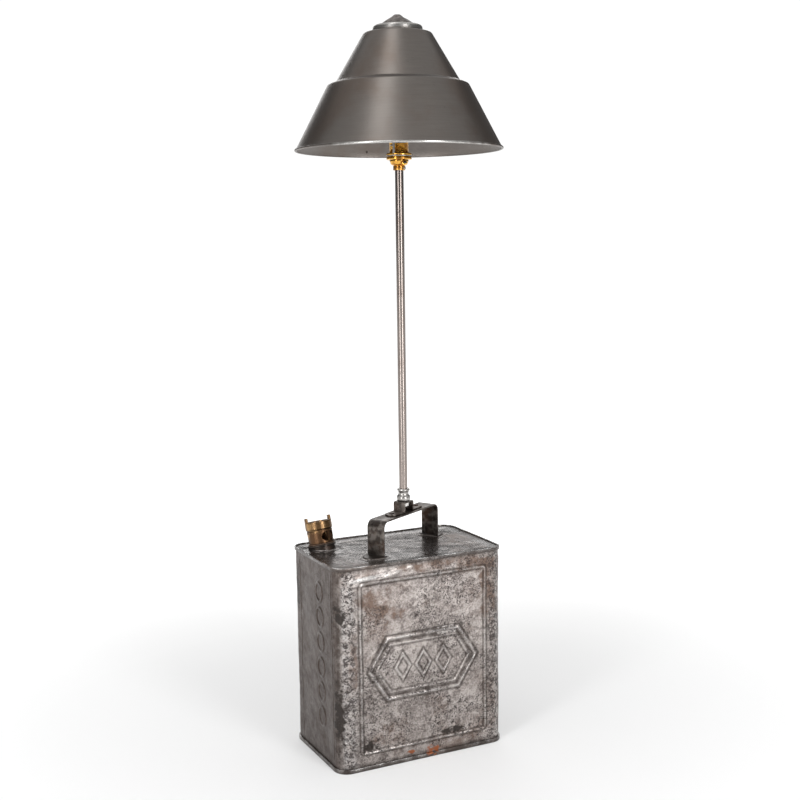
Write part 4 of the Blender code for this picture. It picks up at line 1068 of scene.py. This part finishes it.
# ---- lampholder and bulb ------------------------------------------------------------------------
def build_holder(brass, phenolic, steel):
    low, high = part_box("holder_cap")
    wall = 0.0011
    dome = rounded([(ENTRY_RADIUS, low.z), (0.0077, low.z), (0.0077, low.z + 0.0052), (0.0071, low.z + 0.0058),
                    (0.0104, low.z + 0.0072), (DOME_RADIUS, low.z + 0.0110), (DOME_RADIUS, high.z)],
                   [0.0006, 0.0004, 0.0003, 0.0016, 0.0030], steps=6)
    dome += [(DOME_RADIUS - wall, high.z), (0.0116 - wall, low.z + 0.0112), (0.0101 - wall, low.z + 0.0086),
             (ENTRY_RADIUS, low.z + 0.0070)]
    cap = turned("holder_dome", dome, brass, segments=112)
    through = turned("cutter_switch", [(0.0, -0.02), (SWITCH_BORE, -0.02), (SWITCH_BORE, 0.02), (0.0, 0.02)],
                     closed=False, segments=32)
    lie = Matrix.Translation((0, 0, SWITCH_HEIGHT)) @ Matrix.Rotation(pi / 2, 4, "X")
    cut(cap, [bake_place(through, lie)])
    place(cap, "can", "bright_brass", "holder_cap")
    for side, way in (("front", 1), ("back", -1)):
        bush = [(SWITCH_BORE, BUSH_NEAR)]
        bush += rounded([(BUSH_RADIUS, BUSH_NEAR), (BUSH_RADIUS, BUSH_FAR - 0.0002), (SWITCH_BORE, BUSH_FAR)],
                        [0.0003], steps=4)
        piece = turned("bush_" + side, [(r, way * h) for r, h in bush], brass, segments=48)
        place(bake_place(piece, lie), "can", "bright_brass", "switch_bush_" + side)
    low_bar, high_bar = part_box("switch_bar")
    tip = 0.0005
    bar = rounded([(0.0, -high_bar.y), (SWITCH_RADIUS, -high_bar.y), (SWITCH_RADIUS, -low_bar.y),
                   (0.0, -low_bar.y)],
                  [tip, tip], steps=5)
    piece = turned("switch_button", divided(bar, 0.0025), phenolic, segments=40, closed=False)
    place(bake_place(piece, lie), "switch", "black_phenolic", "switch_bar")
    build_grip_screw(steel, low.z + 0.0028)
    build_rings(brass)


def build_grip_screw(steel, height):
    """Slotted grub screw in the collar that grips the stem."""
    screw = turned("grip_screw", [(0.0, 0.0070)] + rounded(
        [(0.0, 0.0094), (0.0017, 0.0094), (0.0017, 0.0070)], [0.0003], steps=4), steel, 32, closed=False)
    slot = prism("cutter_slot", [(-0.00025, -0.003), (0.00025, -0.003), (0.00025, 0.003), (-0.00025, 0.003)],
                 0.0088, 0.0100)
    cut(screw, [slot])
    turn = Matrix.Rotation(radians(-62), 4, "Z") @ Matrix.Rotation(pi / 2, 4, "Y")
    place(bake_place(screw, Matrix.Translation((0, 0, height)) @ turn), "can", "satin_nickel")


def thread_line(root, crest, start, pitch, turns, shares):
    """Thread drawn as rings: a root point, then the two edges of its crest, for each turn."""
    line = []
    for turn in range(turns):
        foot = start + turn * pitch
        line += [(root, foot)] + [(crest, foot + pitch * share) for share in shares]
    return line


def build_rings(brass):
    bore = RING_BORE
    low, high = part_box("shade_ring_lower")
    outer = high.x
    middle = (low.z + high.z) / 2
    lower = [(bore, low.z)] + rounded([(outer - 0.0012, low.z), (outer, low.z + 0.0007),
                                       (outer, middle - 0.0003)], [0.0005], steps=3)
    lower += rounded([(outer, middle - 0.0003), (outer - 0.0007, middle), (outer, middle + 0.0003)],
                     [0.0002], steps=3)[1:]
    lower += rounded([(outer, middle + 0.0003), (outer, high.z), (bore, high.z)], [0.0004], steps=4)[1:]
    place(turned("clamp_ring_lower", lower, brass, segments=112), "can", "bright_brass",
          "shade_ring_lower")
    low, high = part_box("shade_ring_upper")
    upper = rounded([(bore, low.z), (outer, low.z), (outer, high.z), (bore, high.z)],
                    [0.0004, 0.0007], steps=4)
    place(turned("clamp_ring_upper", upper, brass, segments=112), "can", "bright_brass",
          "shade_ring_upper")
    low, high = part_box("holder_body")
    inner, pitch = 0.0114, 0.0012
    thread = [(inner, low.z), (0.0122, low.z)]
    thread += thread_line(0.0121, SKIRT_RADIUS, low.z + 0.0006, pitch, int((high.z - low.z - 0.0018) / pitch),
                          (0.35, 0.65))
    thread += [(0.0121, high.z - 0.0009), (0.0121, high.z), (inner, high.z)]
    skirt = turned("holder_skirt", thread, brass, segments=112)
    half, entry = 0.0014, radians(28)
    tools = []
    for side in (0, 1):
        spread = half / SKIRT_RADIUS
        plan = arc((0, 0), 0.0140, -spread, entry + spread, 6) + arc((0, 0), 0.0095, entry + spread,
                                                                      -spread, 6)
        slot = prism("cutter_bayonet", plan, PIN_HEIGHT - half, PIN_HEIGHT + half)
        mouth = prism("cutter_mouth", [(0.008, -half), (0.016, -half), (0.016, half), (0.008, half)],
                      PIN_HEIGHT - half, high.z + 0.002)
        tools.append(bake_place(slot, Matrix.Rotation(side * pi, 4, "Z")))
        tools.append(bake_place(mouth, Matrix.Rotation(side * pi + entry, 4, "Z")))
    cut(skirt, tools)
    place(skirt, "can", "bright_brass", "holder_body")


def build_bulb(nickel, pearl):
    low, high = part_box("bulb_cap")
    radius = BULB_CAP_RADIUS
    line = rounded([(0.0, low.z), (0.0090, low.z), (radius, low.z + 0.0030), (radius, high.z), (0.0, high.z)],
                   [0.0012, 0.0020, 0.0005], steps=5)
    cap = turned("bulb_base", divided(line, 0.0030), nickel, segments=80, closed=False)
    pins = turned("cutter_pins", rounded([(0.0, -PIN_REACH), (PIN_RADIUS, -PIN_REACH), (PIN_RADIUS, PIN_REACH),
                                          (0.0, PIN_REACH)], [0.0003, 0.0003], steps=3),
                  closed=False, segments=24)
    upright = Matrix.Translation((0, 0, PIN_HEIGHT)) @ Matrix.Rotation(pi / 2, 4, "Y")
    cut(cap, [bake_place(pins, upright)], "UNION")
    place(cap, "can", "satin_nickel", "bulb_cap")
    low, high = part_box("bulb_glass")
    ball = high.x
    middle = high.z - ball
    neck = [(0.0106, low.z), (0.0112, low.z + 0.0025), (0.0128, low.z + 0.0062), (0.0170, low.z + 0.0165)]
    outside = neck + arc((0, middle), ball, radians(-34), pi / 2 - 0.01, 25)
    inside = [(r - GLASS_WALL, h) for r, h in neck]
    inside += arc((0, middle), ball - GLASS_WALL, radians(-34), pi / 2 - 0.01, 25)
    glass = turned("bulb_globe", outside + inside[::-1], pearl, segments=96)
    place(glass, "can", "pearl_glass", "bulb_glass")


# ---- carrier, shade and finial ------------------------------------------------------------------
def build_carrier(nickel):
    low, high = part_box("carrier_ring")
    ring = rounded([(RING_BORE, low.z), (CARRIER_RADIUS, low.z), (CARRIER_RADIUS, high.z), (RING_BORE, high.z)],
                   [0.0003, 0.0003], steps=3)
    plate = turned("carrier_plate", ring, nickel, segments=112)
    ears = []
    for turn in (0, pi):
        plan = arc((EAR_MIDDLE, 0), EAR_HALF_WIDTH, -pi / 2, pi / 2, 16)
        plan = [(0.0135, -EAR_HALF_WIDTH)] + plan + [(0.0135, EAR_HALF_WIDTH)]
        ear = prism("cutter_ear", plan, low.z, high.z)
        add_bevel(ear, 0.0003)
        apply_modifiers(ear)
        ears.append(bake_place(ear, Matrix.Rotation(HARP_HEADING + turn, 4, "Z")))
    cut(plate, ears, "UNION")
    place(plate, "can", "satin_nickel", "carrier_ring")
    low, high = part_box("carrier_seat")
    seat = high.z - STUD_LENGTH
    line = rounded([(0.0, low.z), (0.0092, low.z), (SEAT_RADIUS, seat), (STUD_RADIUS, seat)],
                   [0.0007, 0.0005], steps=4)
    line += thread_line(0.0026, STUD_RADIUS, seat + 0.0004, 0.0009, 10, (0.4, 0.6))
    line += [(0.0024, high.z), (0.0, high.z)]
    place(turned("seat_stud", line, nickel, segments=64, closed=False), "can", "satin_nickel",
          "carrier_seat")


def shade_line():
    """Outer line of the shade from its top hole to the rim, then round the rolled bead."""
    top = SHADE_TOP
    corners = [(TOP_HOLE, top), (0.0314, top), (0.0328, top - 0.0084), (0.0436, top - 0.0096),
               (0.0797, top - 0.0697), (0.0905, top - 0.0737), (0.1312, RIM_HEIGHT + 0.0026)]
    return divided(rounded(corners, [0.0036, 0.0014, 0.0040, 0.0028, 0.0044], steps=8), 0.0048)


def build_shade(look):
    outer = shade_line()
    line = np.array(outer)
    ahead = np.gradient(line, axis=0)
    ahead /= np.linalg.norm(ahead, axis=1)[:, None]
    inner = [(r + a[1] * SHADE_SHEET, h - a[0] * SHADE_SHEET) for (r, h), a in zip(outer, ahead)]
    inner[0] = (outer[0][0], outer[0][1] - SHADE_SHEET)
    centre = (SHADE_RADIUS - RIM_BEAD, RIM_HEIGHT)
    roll = arc(centre, RIM_BEAD, radians(105), radians(-150), 16)
    profile = outer[:-1] + roll + [(centre[0] - RIM_BEAD * 0.95, RIM_HEIGHT + 0.0006)] + inner[:-1][::-1]

    def spin(points):
        """Faint unevenness left by the spinning tool, kept inside the sheet's true size."""
        inward = 0.00010 * (ripple(points, 0.06, 121) - 1)
        radius = np.maximum(np.hypot(points[..., 0], points[..., 1]), 0.02)
        scale = 1 + inward / radius
        return points * np.stack([scale, scale, np.ones_like(scale)], axis=-1)

    shade = turned("lamp_shade", profile, look, segments=176, wobble=spin, sharp=30)
    return place(shade, "shade", "spun_steel", "shade")


def build_rim_rivet(look):
    """Small dark rivet head inside the rim, at the back."""
    slope = atan2(0.0406, 0.0737)
    reach = SHADE_RADIUS - 0.0028 - 0.0055 * tan(slope) - 0.0010
    head = [(0.0013 * cos(a), 0.0007 * sin(a)) for a in np.linspace(0.0, pi / 2, 7)]
    rivet = turned("rim_rivet", [(0.0, -0.0006), (0.0013, -0.0006)] + head[:-1] + [(0.0, 0.0007)], look, 32,
                   closed=False)
    aim = (Matrix.Rotation(radians(83.5), 4, "Z") @ Matrix.Translation((reach, 0, RIM_HEIGHT + 0.0055))
           @ Matrix.Rotation(-pi / 2 - slope, 4, "Y"))
    return place(bake_place(rivet, aim), "shade", "dark_steel")


def build_finial(steel, leather):
    low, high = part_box("finial_washer")
    washer = rounded([(TOP_HOLE, low.z), (0.0150, low.z), (0.0150, high.z), (TOP_HOLE, high.z)],
                     [0.0003, 0.0003], steps=3)
    place(turned("felt_ring", washer, leather, segments=72), "shade", "leather", "finial_washer")
    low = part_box("finial")[0]
    line = rounded([(TOP_HOLE, low.z), (0.0204, low.z), (0.0200, low.z + 0.0016), (0.0116, low.z + 0.0070),
                    (0.0078, low.z + 0.0090), (0.0040, low.z + 0.0119), (0.0, SUMMIT - 0.0001)],
                   [0.0005, 0.0008, 0.004, 0.002, 0.002], steps=4)
    line = divided(line, 0.0014) + [(0.0, 0.9515), (TOP_HOLE, 0.9515)]

    def hammer(points):
        radius = np.hypot(points[..., 0], points[..., 1])
        turn = np.arctan2(points[..., 1], points[..., 0])
        share = smooth(radius, 0.004, 0.010) * smooth(points[..., 2], low.z + 0.0006, low.z + 0.0025)
        groove = 0.00022 * np.cos(12 * turn + 190 * radius) + 0.00030 * ripple(points, 0.005, 131)
        points[..., 2] += share * (groove - 0.0003)
        return points

    finial = turned("shade_finial", line, steel, segments=144, closed=False, wobble=hammer, sharp=45)
    return place(finial, "shade", "dark_steel", "finial")


# ---- light, floor and camera --------------------------------------------------------------------
def area_light(name, place_at, aim, width, height, power):
    lamp = bpy.data.lights.new(name, "AREA")
    lamp.shape = "RECTANGLE"
    lamp.size = width
    lamp.size_y = height
    lamp.energy = power
    obj = bpy.data.objects.new(name, lamp)
    obj.location = place_at
    obj.rotation_euler = (Vector(aim) - Vector(place_at)).to_track_quat("-Z", "Y").to_euler()
    bpy.context.scene.collection.objects.link(obj)


def build_studio():
    """Pale floor, a soft white surround, a wide sky light, one strip overhead and three softboxes."""
    mesh = bpy.data.meshes.new("studio_floor")
    corners = [(x * FLOOR_REACH, y * FLOOR_REACH, -FLOOR_DROP) for x, y in ((-1, -1), (1, -1), (1, 1), (-1, 1))]
    mesh.from_pydata(corners, [], [(0, 1, 2, 3)])
    floor = link("studio_floor", mesh, floor_look())
    world = bpy.data.worlds.new("studio")
    world.use_nodes = True
    tree = world.node_tree
    background = tree.nodes["Background"]
    seen = tree.nodes.new("ShaderNodeLightPath")
    strength = tree.nodes.new("ShaderNodeMapRange")
    strength.inputs["To Min"].default_value = SURROUND
    strength.inputs["To Max"].default_value = SEEN_WHITE
    tree.links.new(seen.outputs["Is Camera Ray"], strength.inputs["Value"])
    tree.links.new(strength.outputs[0], background.inputs["Strength"])
    background.inputs["Color"].default_value = (1.0, 1.0, 1.0, 1.0)
    bpy.context.scene.world = world
    bpy.context.scene.view_settings.view_transform = "Standard"
    sky = bpy.data.lights.new("sky", "SUN")
    sky.energy = SKY_STRENGTH
    sky.angle = radians(110)
    overhead = bpy.data.objects.new("sky", sky)
    bpy.context.scene.collection.objects.link(overhead)
    area_light("overhead", (-0.50, -0.34, 1.98), (0.0, 0.0, 0.86), 0.42, 0.85, 3.2)
    target = (0.0, 0.0, 0.45)
    for name, heading, height, far, width, tall, power in SOFTBOXES:
        spot = (far * sin(radians(heading)), -far * cos(radians(heading)), height)
        area_light(name, spot, target, width, tall, power)


def build_camera():
    data = bpy.data.cameras.new("camera")
    data.lens = 54.70
    data.sensor_width = 36.0
    data.shift_x = 0.00675
    data.shift_y = 0.01724
    ahead = Vector((sin(CAMERA_HEADING) * cos(CAMERA_PITCH), cos(CAMERA_HEADING) * cos(CAMERA_PITCH),
                    -sin(CAMERA_PITCH)))
    right = Vector((cos(CAMERA_HEADING), -sin(CAMERA_HEADING), 0.0))
    up = right.cross(ahead)
    x_axis = right * cos(CAMERA_ROLL) - up * sin(CAMERA_ROLL)
    y_axis = right * sin(CAMERA_ROLL) + up * cos(CAMERA_ROLL)
    camera = bpy.data.objects.new("camera", data)
    bpy.context.scene.collection.objects.link(camera)
    spot = CAN_MIDDLE - Vector((sin(CAMERA_HEADING), cos(CAMERA_HEADING), 0.0)) * CAMERA_DISTANCE
    spot.z = CAMERA_HEIGHT
    axes = Matrix((x_axis, y_axis, -ahead)).transposed().to_4x4()
    camera.matrix_world = Matrix.Translation(spot) @ axes
    bpy.context.scene.camera = camera


def main():
    front, left = CAN_MIDDLE.y - CAN_HALF_Y, CAN_MIDDLE.x - CAN_HALF_X
    browns = [((-0.088, front, 0.225), (0.030, 0.03, 0.022)), ((0.070, front, 0.250), (0.060, 0.03, 0.012)),
              ((0.092, front, 0.215), (0.022, 0.03, 0.040)), ((-0.070, front, 0.205), (0.030, 0.03, 0.020)),
              ((-0.075, front, 0.040), (0.024, 0.03, 0.018)), ((0.010, front, 0.259), (0.060, 0.03, 0.010)),
              ((left, 0.050, 0.225), (0.02, 0.030, 0.040)), ((-0.112, front, 0.150), (0.006, 0.02, 0.050))]
    rusts = [((0.001, front, 0.009), (0.010, 0.02, 0.006)), ((-0.030, front, 0.012), (0.006, 0.02, 0.004))]
    blacks = [((left + 0.006, front + 0.010, 0.205), (0.010, 0.010, 0.016)),
              ((left + 0.006, front + 0.010, 0.075), (0.009, 0.010, 0.055)),
              ((left, 0.060, 0.215), (0.02, 0.012, 0.030)), ((0.030, front, 0.030), (0.020, 0.02, 0.007)),
              ((-0.090, front, 0.030), (0.012, 0.02, 0.010))]
    tin = tin_look("pitted_tin", 1.0, 1.0, 0.85, 0.29, 0.10, browns, rusts, blacks)
    seam = tin_look("seam_tin", 0.62, 0.9, 0.95, 0.27, 0.20, (), rusts)
    lid = tin_look("lacquered_tin", 0.44, 0.75, 0.95, 0.17, 0.35)
    dark = dark_steel_look("dark_steel")
    solder = tin_look("solder", 0.55, 0.8, 0.5, 0.30, 0.2)
    nickel = nickel_look()
    bright = brass_look("bright_brass", (0.83, 0.47, 0.085), (0.36, 0.16, 0.035), 0.60, 0.12)
    aged = brass_look("aged_brass", (0.36, 0.225, 0.105), (0.100, 0.055, 0.030), 1.05, 0.20)
    leather = leather_look()
    phenolic = phenolic_look()
    build_can_shell(tin)
    build_can_lid(lid)
    build_can_base(seam)
    build_neck(dark, solder)
    build_cap(aged)
    build_handle(dark, solder)
    build_bracket(dark)
    build_stem(nickel, tube_look())
    build_holder(bright, phenolic, nickel)
    build_bulb(nickel, pearl_look())
    build_carrier(nickel)
    build_shade(spun_look("spun_steel", (0.145, 0.131, 0.120), (0.125, 0.098, 0.082), 0.36))
    build_rim_rivet(dark)
    build_finial(finial_look(), leather)
    kept = {"cap_washer": leather, "stem_nipple": nickel, "stem_lock_nut": nickel,
            "holder_insulator": phenolic, "contact_plunger_left": bright,
            "contact_plunger_right": bright, "carrier_harp": nickel}
    for name, look in kept.items():
        CAD[name].data.materials.clear()
        CAD[name].data.materials.append(look.material)
    build_studio()
    build_camera()


main()
bpy.context.view_layer.update()
